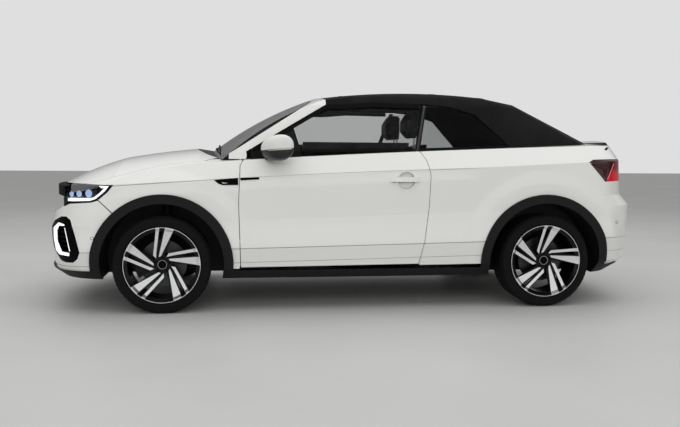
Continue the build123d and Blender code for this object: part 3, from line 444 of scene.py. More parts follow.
@dataclass(frozen=True)
class TwoToneMirror:
    """Mirror housing: a painted cap above a sloping line, black below it and on the foot. Places in metres."""

    white: str = "#E6E6E2"
    black: str = "#0A0A0B"
    slope: float = 0.077
    line: Point = (1.1285, 1.1295)
    foot: Point = (0.849, 0.851)

    def build(self) -> bpy.types.Material:
        """Makes the material.

        Returns:
            The housing's finish.
        """
        mat = Finish("painted_mirror_cap_over_black_plastic", self.white, 0.34, coat=0.2).build()
        tree = mat.node_tree
        _, x, y, z = coordinates(tree)
        level = add(tree, MATH, {0: x, 1: -self.slope, 2: z}, operation="MULTIPLY_ADD")
        out = add(tree, MATH, {0: y}, operation="ABSOLUTE")
        above = add(tree, RANGE, {0: level, 1: self.line[0], 2: self.line[1]}, **SMOOTH)
        beyond = add(tree, RANGE, {0: out, 1: self.foot[0], 2: self.foot[1]}, **SMOOTH)
        cap = add(tree, MATH, {0: above, 1: beyond}, operation="MULTIPLY")
        colour = add(tree, MIX, {0: cap, 6: linear(self.black), 7: linear(self.white)}, data_type="RGBA")
        feed(tree, tree.nodes["Principled BSDF"], {"Base Color": colour.outputs[2]})
        return mat


@dataclass(frozen=True)
class DividerStrip:
    """Strip between the windows: satin aluminium with a black rubber lip along each edge. Places in metres."""

    rubber: str = "#0C0C0D"
    metal: str = "#8E9092"
    lean: float = 0.2804
    front_edge: Point = (0.1165, 0.1175)
    rear_edge: Point = (0.1295, 0.1285)

    def build(self) -> bpy.types.Material:
        """Makes the material.

        Returns:
            The strip's finish.
        """
        mat = FINISHES["silver"].build()
        tree = mat.node_tree
        _, x, _, z = coordinates(tree)
        across = add(tree, MATH, {0: z, 1: -self.lean, 2: x}, operation="MULTIPLY_ADD")
        front = add(tree, RANGE, {0: across, 1: self.front_edge[0], 2: self.front_edge[1]}, **SMOOTH)
        rear = add(tree, RANGE, {0: across, 1: self.rear_edge[0], 2: self.rear_edge[1]}, **SMOOTH)
        metal = add(tree, MATH, {0: front, 1: rear}, operation="MULTIPLY")
        colour = add(tree, MIX, {0: metal, 6: linear(self.rubber), 7: linear(self.metal)}, data_type="RGBA")
        feed(tree, tree.nodes["Principled BSDF"], {"Base Color": colour.outputs[2], "Metallic": metal})
        return mat


@dataclass(frozen=True)
class TailLens:
    """Tail lens: smoked red ahead of a slanting line, clear bright red over the reflector behind it."""

    smoked: str = "#3A0C12"
    upper: str = "#7E0A16"
    lower: str = "#E6192F"
    lean: float = 0.587
    line: Point = (1.262, 1.264)                 # metres, where the smoked part ends
    fade: Point = (0.975, 0.935)                 # metres, heights over which the reflector brightens

    def build(self) -> bpy.types.Material:
        """Makes the material.

        Returns:
            The lens's finish.
        """
        mat = FINISHES["red_lens"].build()
        tree = mat.node_tree
        _, x, _, z = coordinates(tree)
        place = add(tree, MATH, {0: z, 1: -self.lean, 2: x}, operation="MULTIPLY_ADD")
        behind = add(tree, RANGE, {0: place, 1: self.line[0], 2: self.line[1]}, **SMOOTH)
        low_part = add(tree, RANGE, {0: z, 1: self.fade[0], 2: self.fade[1]}, **SMOOTH)
        clear = add(tree, MIX, {0: low_part, 6: linear(self.upper), 7: linear(self.lower)}, data_type="RGBA")
        colour = add(tree, MIX, {0: behind, 6: linear(self.smoked), 7: clear.outputs[2]}, data_type="RGBA")
        feed(tree, tree.nodes["Principled BSDF"], {"Base Color": colour.outputs[2]})
        return mat


@dataclass(frozen=True)
class Woven:
    """Woven cloth: two sets of threads that cross, seen as a fine soft grain.

    Its threads are drawn coarser than the real ones, which are too fine to show.
    """

    name: str
    dark: str
    pale: str
    thread: float                                # spacing of the threads in mm
    relief: float                                # height of the threads in mm
    fade_scale: float = 6.0                      # patches by which the dye varies, per metre

    def build(self) -> bpy.types.Material:
        """Makes the cloth.

        Returns:
            The cloth's finish.
        """
        mat = Finish(self.name, self.dark, 0.95, shine=0.12).build()
        tree = mat.node_tree
        place, x, y, z = coordinates(tree)
        weave = 1.0
        for first, second in ((x, z), (y, z)):
            along = add(tree, MATH, {0: first, 1: second}, operation="ADD")
            phase = add(tree, MATH, {0: along, 1: 2 * math.pi / (self.thread * MM)}, operation="MULTIPLY")
            wave = add(tree, MATH, {0: phase}, operation="SINE")
            weave = add(tree, MATH, {0: wave, 1: weave}, operation="MULTIPLY")
        cloud = add(tree, "ShaderNodeTexNoise", {"Vector": place, "Scale": self.fade_scale, "Detail": 3.0})
        bump = add(tree, "ShaderNodeBump", {"Height": weave, "Distance": self.relief * MM, "Strength": 0.7})
        colour = add(tree, MIX, {0: cloud, 6: linear(self.dark), 7: linear(self.pale)}, data_type="RGBA")
        feed(tree, tree.nodes["Principled BSDF"], {"Normal": bump, "Base Color": colour.outputs[2],
                                                   "Sheen Weight": 0.04, "Sheen Roughness": 0.6})
        return mat


class Library:
    """Builds each material once, when it is first asked for."""

    def __init__(self) -> None:
        """Starts with the finishes that have a class of their own."""
        white = FINISHES["paint"].colour
        red = FINISHES["red"]
        self.made: dict[str, bpy.types.Material] = {}
        self.special: dict[str, Callable[[], bpy.types.Material]] = {
            "paint": PressedPaint().build,
            "panel": Lined(PressedPaint("pearl_white_paint_with_black_trim_inside"), white, (0.0, -1.0, 0.0)).build,
            "hood_panel": Lined(PressedPaint("pearl_white_hood_paint_with_black_felt_below"), white,
                                (0.5, 0.0, -0.87)).build,
            "lid_panel": Lined(PressedPaint("pearl_white_lid_paint_with_black_trim_below"), white,
                               (-0.6, 0.0, -0.8)).build,
            # The tail lamp housings take the reflector red, whose glow is a painted highlight, lined black inside
            "lamp_back": Lined(red, red.colour, (-0.7, -0.7, 0.0)).build,
            "mirror": TwoToneMirror().build,
            "divider": DividerStrip().build,
            "red_lens": TailLens().build,
            "rim_front": DiamondCut(FRONT_AXLE_X, 0.0).build,
            "rim_rear": DiamondCut(REAR_AXLE_X, -5.5).build,
            "headliner": Woven("black_headliner_knitted_polyester", "#040405", "#070708", 1.2, 0.2).build,
            "canvas": Woven("black_soft_top_canvas_woven_acrylic", "#0C0C0D", "#171718", 1.6, 0.25).build,
            "cloth": Woven("black_seat_cloth_woven_polyester", "#0C0C0D", "#121213", 1.2, 0.3).build,
        }

    def __getitem__(self, key: str) -> bpy.types.Material:
        """The material of that key."""
        if key not in self.made:
            maker = self.special.get(key) or FINISHES[key].build
            self.made[key] = maker()
        return self.made[key]


# ------------------------------------------------------------------- building
def put(name: str, data: bpy.types.ID, body: str = "") -> bpy.types.Object:
    """Sets a new object at the origin of the scene.

    Args:
        name: the object's name.
        data: its mesh, lamp or camera data.
        body: the CAD body that it rides on, if any.
    Returns:
        The new object.
    """
    obj = bpy.data.objects.new(name, data)
    bpy.context.scene.collection.objects.link(obj)
    if body:
        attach(obj, body)
    return obj


def piece(name: str, form: tuple[np.ndarray, list], mat: bpy.types.Material, body: str,
          smooth: bool = True) -> bpy.types.Object:
    """Makes a mesh object that rides on a body.

    Args:
        name: the piece's name.
        form: its vertices in metres and the vertex numbers of each face.
        mat: its material.
        body: the CAD body that it moves with.
        smooth: True for smooth shading, split at sharp edges.
    Returns:
        The new object.
    """
    verts, faces = form
    mesh = bpy.data.meshes.new(name)
    mesh.from_pydata([tuple(map(float, v)) for v in verts], [], [list(map(int, f)) for f in faces])
    work = bmesh.new()
    work.from_mesh(mesh)
    bmesh.ops.remove_doubles(work, verts=work.verts, dist=1e-5)
    bmesh.ops.recalc_face_normals(work, faces=work.faces)
    work.to_mesh(mesh)
    work.free()
    if smooth:
        mesh.shade_smooth()
        mesh.set_sharp_from_angle(angle=math.radians(35))
    mesh.materials.append(mat)
    LOG.info("%s: %d faces on %s", name, len(mesh.polygons), body)
    return put(name, mesh, body)


def grid_faces(rows: int, columns: int, closed: bool = False) -> list[list[int]]:
    """Faces of a grid of vertices numbered row by row, closed round its columns if asked."""
    span = columns if closed else columns - 1
    return [[i * columns + j, i * columns + (j + 1) % columns, (i + 1) * columns + (j + 1) % columns,
             (i + 1) * columns + j] for i in range(rows - 1) for j in range(span)]


def bar(rings: Sequence[Sequence[Sequence[float]]]) -> tuple[np.ndarray, list]:
    """Joins equal rings of points, one after the other, into a bar with closed ends."""
    count = len(rings[0])
    last = count * (len(rings) - 1)
    faces = grid_faces(len(rings), count, closed=True) + [list(range(count)), [last + k for k in range(count)]]
    return np.array([tuple(v) for ring in rings for v in ring]), faces


def shell(layers: Sequence[Sequence[float]], rows: int, columns: int) -> tuple[np.ndarray, list]:
    """Joins two equal grids of points, the outer and then the inner one, into a closed thin shell.

    Args:
        layers: every point of the outer grid, row by row, and then of the inner one.
        rows: faces along the grid.
        columns: faces across it.
    Returns:
        Vertices and faces.
    """
    across, count = columns + 1, (rows + 1) * (columns + 1)
    top = grid_faces(rows + 1, across)
    border = [*range(columns), *(i * across + columns for i in range(rows)),
              *(rows * across + k for k in range(columns, 0, -1)), *(i * across for i in range(rows, 0, -1))]
    faces = top + [[count + v for v in reversed(face)] for face in top]
    faces += [[a, b, count + b, count + a] for a, b in zip(border, border[1:] + border[:1])]
    return np.array(layers), faces


def tube(points: Sequence[Vector], radius: float, sides: int = 10) -> tuple[np.ndarray, list]:
    """A round bar along points, all in metres."""
    rings = []
    for i, p in enumerate(points):
        tangent = (points[min(i + 1, len(points) - 1)] - points[max(i - 1, 0)]).normalized()
        first = tangent.cross(Vector((0.31, 0.17, 0.93))).normalized()
        second = tangent.cross(first)
        rings.append([p + (first * math.cos(a) + second * math.sin(a)) * radius
                      for a in (2 * math.pi * k / sides for k in range(sides))])
    return bar(rings)


def lathe(profile: Sequence[Point], centre: Vector, steps: int) -> tuple[np.ndarray, list]:
    """Turns a closed profile of (along y, radius) in mm about the Y axis through centre."""
    rings = []
    for k in range(steps):
        angle = 2 * math.pi * k / steps
        rings.append([(centre.x + r * MM * math.cos(angle), centre.y + y * MM, centre.z + r * MM * math.sin(angle))
                      for y, r in profile])
    rings.append(rings[0])
    verts = np.array([v for ring in rings for v in ring])
    return verts, grid_faces(len(rings), len(profile), closed=True)


def middle(node: str) -> Vector:
    """The middle of a CAD node's box, in metres."""
    low_corner, high_corner = (Vector(corner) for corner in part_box(node))
    return (low_corner + high_corner) / 2


def smooth_path(points: Sequence[Point], spacing: float) -> list[Point]:
    """Points along a polyline at an even spacing, in mm."""
    result = []
    for (x0, z0), (x1, z1) in zip(points[:-1], points[1:]):
        count = max(1, round(math.hypot(x1 - x0, z1 - z0) / spacing))
        result.extend((x0 + (x1 - x0) * i / count, z0 + (z1 - z0) * i / count) for i in range(count))
    return result + [points[-1]]


class Skin:
    """The outer surface of some CAD nodes, to lay trim on."""

    def __init__(self, *nodes: str) -> None:
        """Reads the nodes' triangles.

        Args:
            nodes: names of CAD nodes.
        """
        verts, faces = [], []
        for name in nodes:
            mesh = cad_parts[name].data
            mesh.calc_loop_triangles()
            start = len(verts)
            verts.extend(Vector(v.co) for v in mesh.vertices)
            faces.extend(tuple(start + i for i in t.vertices) for t in mesh.loop_triangles)
        self.tree = BVHTree.FromPolygons(verts, faces)

    def side(self, x: float, z: float, sign: int) -> float | None:
        """y of the outer surface at (x, z) in mm, seen from one side, or None where there is none."""
        hit = self.tree.ray_cast(Vector((x * MM, sign * 1.5, z * MM)), Vector((0, -sign, 0)))
        return hit[0].y / MM if hit[0] is not None else None

    def pane(self, x: float, z: float, sign: int) -> float | None:
        """y of a pane's outer face at (x, z) in mm, found from inside so that nothing outside it counts."""
        first = self.tree.ray_cast(Vector((x * MM, 0, z * MM)), Vector((0, sign, 0)))
        if first[0] is None:
            return None
        second = self.tree.ray_cast(first[0] + Vector((0, sign * 1e-4, 0)), Vector((0, sign, 0)))
        far = second[0] if second[0] is not None and abs(second[0].y - first[0].y) < 0.03 else first[0]
        return far.y / MM

    def below(self, x: float, y: float) -> tuple[Vector | None, Vector | None]:
        """Place and normal of the surface under (x, y) in mm, seen from above, in metres."""
        return self.tree.ray_cast(Vector((x * MM, y * MM, ABOVE)), Vector((0, 0, -1)))[:2]

    def out(self, origin: Vector, aim: Vector) -> Vector | None:
        """The last hit of a ray from inside, which is the outer surface, in metres."""
        best = None
        here = Vector(origin)
        for _ in range(6):
            hit = self.tree.ray_cast(here, aim)
            if hit[0] is None:
                break
            best = hit[0]
            here = hit[0] + aim * 1e-4
        return best


@dataclass
class Strip:
    """A strip of trim laid on a skin along a side-view line. Sizes in mm."""

    name: str
    path: list[Point]
    width: float
    proud: float
    finish: str
    body: str
    depth: float = 4.0
    from_inside: bool = False

    def build(self, skin: Skin, side: Side, library: Library) -> bpy.types.Object | None:
        """Lays the strip on one side of the car.

        Args:
            skin: the surface below it.
            side: the side of the car.
            library: the materials.
        Returns:
            The strip, or None where the skin doesn't reach.
        """
        points = smooth_path(self.path, 25.0)
        find = skin.pane if self.from_inside else skin.side
        rings = []
        for i, (x, z) in enumerate(points):
            ahead, behind = points[min(i + 1, len(points) - 1)], points[max(i - 1, 0)]
            tangent = Vector((ahead[0] - behind[0], ahead[1] - behind[1])).normalized()
            normal = Vector((-tangent.y, tangent.x)) * self.width / 2
            corners = [(x + normal.x, z + normal.y), (x - normal.x, z - normal.y)]
            ys = [find(cx, cz, side.sign) for cx, cz in corners]
            known = [y for y in ys if y is not None]
            if not known:
                continue
            ys = [y if y is not None else known[0] for y in ys]
            ring = []
            for lift, order in ((self.proud, (0, 1)), (-self.depth, (1, 0))):
                ring.extend((corners[k][0] * MM, (ys[k] + side.sign * lift) * MM, corners[k][1] * MM) for k in order)
            rings.append(ring)
        if len(rings) < 2:
            LOG.info("%s: no surface under it", self.name)
            return None
        return piece(f"{self.name}_{side.word}", bar(rings), library[self.finish],
                     self.body.format(side=side.word), smooth=False)


@dataclass
class Inlay:
    """A flat piece of trim with a free outline, laid on a skin in side view. Sizes in mm."""

    name: str
    outline: list[Point]
    proud: float
    finish: str
    body: str
    depth: float = 3.0
    stand_in_y: float = 880.0    # where the outline runs past the skin

    def build(self, skin: Skin, side: Side, library: Library) -> bpy.types.Object:
        """Lays the inlay on one side of the car.

        Args:
            skin: the surface below it.
            side: the side of the car.
            library: the materials.
        Returns:
            The inlay.
        """
        outline = smooth_path(self.outline + self.outline[:1], 20.0)[:-1]
        layers = []
        for lift in (self.proud, -self.depth):
            ys = [skin.side(x, z, side.sign) for x, z in outline]
            ys = [y if y is not None else side.sign * self.stand_in_y for y in ys]
            layers.append([(x * MM, (y + side.sign * lift) * MM, z * MM) for y, (x, z) in zip(ys, outline)])
        inlay = piece(f"{self.name}_{side.word}", bar(layers), library[self.finish],
                      self.body.format(side=side.word), smooth=False)
        work = bmesh.new()
        work.from_mesh(inlay.data)
        bmesh.ops.triangulate(work, faces=work.faces)
        work.to_mesh(inlay.data)
        work.free()
        return inlay


@dataclass
class Patch:
    """A thin shell laid on a skin between two lines, close enough to follow its curve. Sizes in mm."""

    name: str
    first: list[Point]
    second: list[Point]
    proud: float
    finish: str
    body: str
    depth: float = 3.0
    rows: int = 12
    columns: int = 6

    def build(self, skin: Skin, side: Side, library: Library) -> bpy.types.Object:
        """Lays the patch on one side of the car.

        Args:
            skin: the surface below it.
            side: the side of the car.
            library: the materials.
        Returns:
            The patch.
        """
        verts = []
        for lift in (self.proud, -self.depth):
            for i in range(self.rows + 1):
                (x0, z0), (x1, z1) = (self.along(line, i / self.rows) for line in (self.first, self.second))
                for share in (k / self.columns for k in range(self.columns + 1)):
                    x, z = x0 + (x1 - x0) * share, z0 + (z1 - z0) * share
                    y = skin.side(x, z, side.sign)
                    y = y if y is not None else verts[-1][1] / MM - side.sign * lift
                    verts.append((x * MM, (y + side.sign * lift) * MM, z * MM))
        return piece(f"{self.name}_{side.word}", shell(verts, self.rows, self.columns), library[self.finish],
                     self.body.format(side=side.word))

    @staticmethod
    def along(line: list[Point], share: float) -> Point:
        """The point at a share of a straight line."""
        (x0, z0), (x1, z1) = line
        return x0 + (x1 - x0) * share, z0 + (z1 - z0) * share


@dataclass
class EndTrim:
    """A thin shell laid on the tail between two heights and two offsets. Sizes in mm."""

    name: str
    offsets: Point
    heights: Point
    finish: str
    body: str = "body"
    proud: float = 1.5
    depth: float = 3.0
    flat: bool = False
    columns: int = 36
    rows: int = 4
    behind: float = 2.6      # metres, a place behind the whole car

    def build(self, skin: Skin, library: Library) -> bpy.types.Object:
        """Lays the shell.

        Args:
            skin: the surface below it.
            library: the materials.
        Returns:
            The piece.
        """
        spots = [(y, z) for z in np.linspace(*self.heights, self.rows + 1)
                 for y in np.linspace(*self.offsets, self.columns + 1)]
        aim = Vector((-1, 0, 0))
        places = [skin.tree.ray_cast(Vector((self.behind, y * MM, z * MM)), aim)[0] for y, z in spots]
        known = [p.x / MM for p in places if p is not None]
        outer = [p.x / MM if p is not None else min(known) for p in places]
        if self.flat:
            outer = [max(known)] * len(spots)
        verts = [((x + lift) * MM, y * MM, z * MM)
                 for lift in (self.proud, -self.depth) for x, (y, z) in zip(outer, spots)]
        return piece(self.name, shell(verts, self.rows, self.columns), library[self.finish], self.body)


# ---------------------------------------------------------------- ring pieces
def grown(tree: bpy.types.NodeTree, settings: dict) -> bpy.types.Mesh:
    """Runs a Geometry Nodes tree once and gives back what it makes.

    Args:
        tree: the tree to run.
        settings: value of each named input.
    Returns:
        The result as a plain mesh.
    """
    host = put("host", bpy.data.meshes.new("host"))
    modifier = host.modifiers.new("growth", "NODES")
    modifier.node_group = tree
    for item in tree.interface.items_tree:
        if item.item_type == "SOCKET" and item.in_out == "INPUT" and item.name in settings:
            modifier[item.identifier] = settings[item.name]
    graph = bpy.context.evaluated_depsgraph_get()
    mesh = bpy.data.meshes.new_from_object(host.evaluated_get(graph))
    bpy.data.objects.remove(host)
    return mesh


def ring_tree(name: str, mat: bpy.types.Material, round_sides: int = 0) -> bpy.types.NodeTree:
    """A tree that sets small blocks or studs in a ring about the Y axis.

    Args:
        name: the tree's name.
        mat: the finish of what it makes.
        round_sides: sides of a stud, or 0 for a block.
    Returns:
        The tree, with the inputs Count, Radius, Size (radial, along the ring, across it), Across and Turn.
    """
    tree = bpy.data.node_groups.new(name, "GeometryNodeTree")
    tree.is_modifier = True
    for label, kind in (("Count", "Int"), ("Radius", "Float"), ("Size", "Vector"), ("Across", "Float"),
                        ("Turn", "Float")):
        tree.interface.new_socket(label, in_out="INPUT", socket_type=f"NodeSocket{kind}")
    tree.interface.new_socket("Geometry", in_out="OUTPUT", socket_type="NodeSocketGeometry")
    entry = add(tree, "NodeGroupInput").outputs
    circle = add(tree, "GeometryNodeMeshCircle", {"Vertices": entry["Count"], "Radius": entry["Radius"]})
    if round_sides:
        size = add(tree, SPLIT, {0: entry["Size"]}).outputs
        shape = add(tree, "GeometryNodeMeshCylinder", {"Vertices": round_sides, "Radius": size[0], "Depth": size[2]})
    else:
        shape = add(tree, "GeometryNodeMeshCube", {"Size": entry["Size"]})
    share = add(tree, MATH, {0: add(tree, "GeometryNodeInputIndex"), 1: entry["Count"]}, operation="DIVIDE")
    angle = add(tree, MATH, {0: share, 1: 2 * math.pi}, operation="MULTIPLY")
    studs = add(tree, "GeometryNodeInstanceOnPoints",
                {"Points": circle, "Instance": shape, "Rotation": add(tree, JOIN, {2: angle})})
    real = add(tree, "GeometryNodeRealizeInstances", {0: studs})
    spun = add(tree, "GeometryNodeTransform", {"Geometry": real, "Rotation": add(tree, JOIN, {2: entry["Turn"]})})
    tipped = add(tree, "GeometryNodeTransform", {
        "Geometry": spun, "Translation": add(tree, JOIN, {1: entry["Across"]}), "Rotation": (math.radians(90), 0, 0)})
    dressed = add(tree, "GeometryNodeSetMaterial", {"Geometry": tipped, "Material": mat})
    add(tree, "NodeGroupOutput", {"Geometry": dressed})
    return tree


# --------------------------------------------------------------------- wheels
@dataclass
class Wheel:
    """One wheel: a grooved tyre, and the cap, bolts and valve of its rim. Sizes in mm."""

    axle: Axle
    side: Side
    steps: int = 120
    tread_radius: float = 321.3
    groove_radius: float = 314.5
    block_rows: tuple[Point, ...] = ((31.0, 25.0), (67.0, 36.0))    # off the middle, width
    block_count: int = 66
    block_gap: float = 4.0
    block_root: float = 2.0          # depth of a block below the groove's floor
    cap_radius: float = 31.0
    cap_place: float = 68.0          # off the wheel's middle
    bolt_count: int = 5
    bolt_circle: float = 49.0
    bolt_radius: float = 9.0
    bolt_turn: float = 0.3           # radians
    valve_circle: float = 214.0
    valve_angle: float = 38.0
    valve_span: Point = (62.0, 84.0)
    valve_radius: float = 4.0

    @property
    def place(self) -> str:
        """The wheel's place as node names write it."""
        return f"{self.axle.value}_{self.side.word}"

    @property
    def body(self) -> str:
        """The CAD body that spins."""
        return f"wheel_{self.place}"

    def tyre_profile(self) -> list[Point]:
        """The tyre's section: bead, sidewall with its raised rings, shoulder and ribs, as (along y, radius)."""
        wall = [(99.4, 233.6), (99.4, 251.5), (102.0, 255.5), (106.0, 258.5), (109.0, 262.0), (110.8, 268.0),
                (111.3, 273.0), (112.2, 273.6), (112.2, 278.0), (111.6, 278.6), (111.6, 289.0), (112.1, 289.6),
                (111.9, 292.6), (110.9, 293.2), (109.2, 299.5), (106.5, 305.0), (102.5, 309.5), (96.0, 312.5),
                (88.0, self.groove_radius)]
        half = wall + [(12.0, self.groove_radius), (12.0, self.tread_radius)]
        return half + [(-y, r) for y, r in reversed(half)]

    def build_tyre(self, library: Library, tread: bpy.types.NodeTree) -> bpy.types.Object:
        """Makes the tyre with its tread blocks.

        Args:
            library: the materials.
            tread: the ring tree that sets the blocks.
        Returns:
            The tyre, in place of its CAD node.
        """
        node = f"tyre_{self.place}"
        hub = middle(node)
        form = lathe(self.tyre_profile(), hub, self.steps)
        tyre = piece(f"tyre_with_tread_{self.place}", form, library["rubber"], self.body)
        pitch = 2 * math.pi * self.tread_radius / self.block_count
        height = self.tread_radius - self.groove_radius
        radius = self.groove_radius + (height - self.block_root) / 2
        work = bmesh.new()
        work.from_mesh(tyre.data)
        for row, (off, width) in enumerate(self.block_rows):
            size = Vector((height + self.block_root, pitch - self.block_gap, width)) * MM
            for sign in (-1, 1):
                blocks = grown(tread, {
                    "Count": self.block_count, "Radius": radius * MM, "Size": tuple(size),
                    "Across": sign * off * MM, "Turn": math.pi / self.block_count * (row + (sign > 0))})
                blocks.transform(Matrix.Translation(hub))
                work.from_mesh(blocks)
        work.to_mesh(tyre.data)
        work.free()
        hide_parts(node)
        return tyre

    def build_hub(self, library: Library, bolts: bpy.types.NodeTree) -> None:
        """Makes the plain centre cap with its ring, the wheel bolts and the valve.

        Args:
            library: the materials.
            bolts: the ring tree that sets the bolts.
        """
        hub = middle(f"tyre_{self.place}")
        out, r, y0 = self.side.sign, self.cap_radius, self.cap_place
        cap = [(y0, 0.5), (y0 + 3.5, 0.5), (y0 + 3, r * 0.6), (y0 + 2, r - 4), (y0, r - 4)]
        ring = [(y0 - 0.1, r - 4), (y0 + 2.8, r - 3.4), (y0 + 2.8, r - 0.8), (y0 - 0.1, r)]
        for name, profile, finish in (("centre_cap", cap, "gloss"), ("cap_ring", ring, "silver")):
            form = lathe([(out * y, radius) for y, radius in profile], hub, 48)
            piece(f"{name}_{self.place}", form, library[finish], self.body)
        size = Vector((self.bolt_radius, 0, self.bolt_radius)) * MM
        mesh = grown(bolts, {"Count": self.bolt_count, "Radius": self.bolt_circle * MM, "Size": tuple(size),
                             "Across": out * (y0 - 0.5) * MM, "Turn": self.bolt_turn})
        mesh.transform(Matrix.Translation(hub))
        put(f"wheel_bolts_{self.place}", mesh, self.body)
        angle = math.radians(self.valve_angle)
        x, z = self.valve_circle * math.cos(angle), self.valve_circle * math.sin(angle)
        ends = [hub + Vector((x, out * y, z)) * MM for y in self.valve_span]
        piece(f"valve_{self.place}", tube(ends, self.valve_radius * MM), library["rubber"], self.body)


# ------------------------------------------------------------------ body trim
@dataclass
class BodyTrim:
    """Thin trim on the painted body: spear, seals, black strips of painted shade, capping, jambs and sensors. Sizes
    in mm.
    """

    belt_width: float = 20.0
    spear: list[Point] = field(default_factory=lambda: [
        (-956, 882), (-885, 889), (-799, 896), (-799, 849), (-905, 849), (-934, 862)])
    spear_wing: list[Point] = field(default_factory=lambda: [(-908, 869), (-866, 863), (-898, 857)])
    spear_tail: list[Point] = field(default_factory=lambda: [(-785, 897), (-662, 901), (-662, 887), (-785, 880)])
    roof_line: list[Point] = field(default_factory=lambda: [
        (-700, 1080), (-418, 1250), (-188, 1386), (-76, 1385), (126, 1402), (498, 1397)])
    sensors: tuple[Point, ...] = ((-1737.0, 502.0), (1868.0, 590.0))
    sensor_radius: float = 11.0
    sensor_disc: float = 8.5
    hood_edge_span: tuple[int, int] = (-1880, -985)
    hood_edge_offsets: Point = (560.0, 800.0)
    hood_seal_section: tuple[Point, ...] = (     # off the hood's edge, below it
        (1.0, 2.5), (5.5, 2.5), (5.5, 12.0), (1.0, 12.0))
    capping_span: Point = (-430.0, 375.0)
    capping_off_pane: float = 14.0
    capping_section: tuple[Point, ...] = (       # inwards, height
        (0, 1045), (0, 1128), (8, 1138), (30, 1134), (48, 1116), (52, 1045))
    # Name, node, line of the shut line's edge, way onto the panel, place of the lip from the line
    jamb_lines: tuple[tuple[str, str, list[Point], float, float], ...] = (
        ("door_jamb_front", "fenders", [(-747, 1050), (-793, 976), (-804, 734), (-791, 310)], -6.0, 2.4),
        ("door_jamb_rear", "quarter_panels",
         [(424, 312), (461, 467), (491, 707), (497, 917), (474, 1021), (440, 1074)], 15.0, 6.6))
    jamb_width: float = 5.0
    jamb_depths: Point = (1.0, 9.0)

    def build(self, library: Library) -> None:
        """Lays all trim on both sides.

        Args:
            library: the materials.
        """
        for side in Side:
            self.fender_and_door(side, library)
            self.glass_edges(side, library)
            self.tail_corner(side, library)
            self.jambs(side, library)
            self.capping(side, library)
            self.hood_seal(side, library)
            bumpers = Skin("front_bumper", "rear_bumper")
            for number, (x, z) in enumerate(self.sensors):
                self.sensor(f"parking_sensor_{number}", x, z, bumpers, side, library)

    def fender_and_door(self, side: Side, library: Library) -> None:
        """The spear on the fender and its tail on the door, a painted shadow under the handle and the mirror's lamp.
        """
        door, fender = Skin(f"door_{side.word}"), Skin("fenders")
        Inlay("fender_spear", self.spear, 2.5, "gloss", "body").build(fender, side, library)
        Inlay("fender_spear_wing", self.spear_wing, 4.5, "satin", "body", depth=0.0).build(fender, side, library)
        Inlay("door_spear", self.spear_tail, 2.5, "gloss", "door_{side}").build(door, side, library)
        # A black strip just below the handle's bar: painted shadow
        Strip("painted_shadow_under_handle", [(232, 871.5), (408, 871.5)], 3.5, 1.5, "seal",
              "door_{side}").build(door, side, library)
        Strip("mirror_indicator", [(-606, 1080), (-456, 1092)], 11.0, 2, "satin",
              "door_{side}").build(Skin(f"mirror_{side.word}"), side, library)

    def glass_edges(self, side: Side, library: Library) -> None:
        """Rubber along the belt line, the roof and the foot of the windscreen pillar."""
        window = f"door_window_{side.word}"
        Strip("door_belt_seal", [(-366, 1078), (404, 1092)], self.belt_width, 4, "seal",
              "door_{side}").build(Skin(window), side, library)
        Strip("quarter_belt_seal", [(449, 1092), (1095, 1117)], self.belt_width - 4, 4, "seal",
              "body").build(Skin("quarter_windows"), side, library)
        Strip("roof_seal", self.roof_line, 30.0, 5, "seal", "body", depth=-1.0,
              from_inside=True).build(Skin(window, f"mirror_{side.word}"), side, library)
        Strip("pillar_foot_seal", [(-742, 1062), (-708, 1084)], 18.0, 2, "seal",
              "body").build(Skin("windscreen_frame"), side, library)

    def tail_corner(self, side: Side, library: Library) -> None:
        """The lamp's wedge on the panel, its bright guide and a black patch of painted shade at the spoiler's end."""
        rear = Skin("quarter_panels")
        Strip("tail_light_guide", [(1787, 894), (1851, 1003)], 6.0, 0.8, "tail_guide", "body",
              depth=1.0).build(Skin("tail_lamp_lenses"), side, library)
        Patch("tail_lamp_wedge", [(1763, 881), (1643, 1005)], [(1768, 881), (1782, 1001)], 1.2, "red_lens",
              "body").build(rear, side, library)
        # A black patch laid on the panel where the gap at the spoiler's end falls in shade: painted shade
        Patch("spoiler_end_painted_shade", [(1808, 1102), (1830, 1098)], [(1846, 1121), (1884, 1120)], 1.0, "seal",
              "body").build(rear, side, library)

    def hood_seal(self, side: Side, library: Library) -> None:
        """A black rubber strip at the bottom of the gap beside the hood, put there as painted shade that darkens its
        shut line.
        """
        hood = Skin("hood")
        rings = []
        for x in range(*self.hood_edge_span, 18):
            edge = None
            for y in np.arange(*self.hood_edge_offsets, 1.5):
                place, _ = hood.below(x, side.sign * y)
                if place is not None and place.z > 0.8:
                    edge = (y, place.z / MM)
            if edge is not None:
                rings.append([(x * MM, side.sign * (edge[0] + off) * MM, (edge[1] - deep) * MM)
                              for off, deep in self.hood_seal_section])
        piece(f"hood_seal_{side.word}", bar(rings), library["seal"], "body", smooth=False)

    def capping(self, side: Side, library: Library) -> None:
        """The soft shoulder of the door's inner trim, which stands a little above the belt line."""
        window = Skin(f"door_window_{side.word}")
        top = max(z for _, z in self.capping_section)
        rings = []
        for x in np.linspace(*self.capping_span, 24):
            pane = window.pane(x, top, side.sign)
            if pane is not None:
                outer = pane - side.sign * self.capping_off_pane
                rings.append([(x * MM, (outer - side.sign * inward) * MM, z * MM)
                              for inward, z in self.capping_section])
        piece(f"door_capping_{side.word}", bar(rings), library["cabin"], f"door_{side.word}")

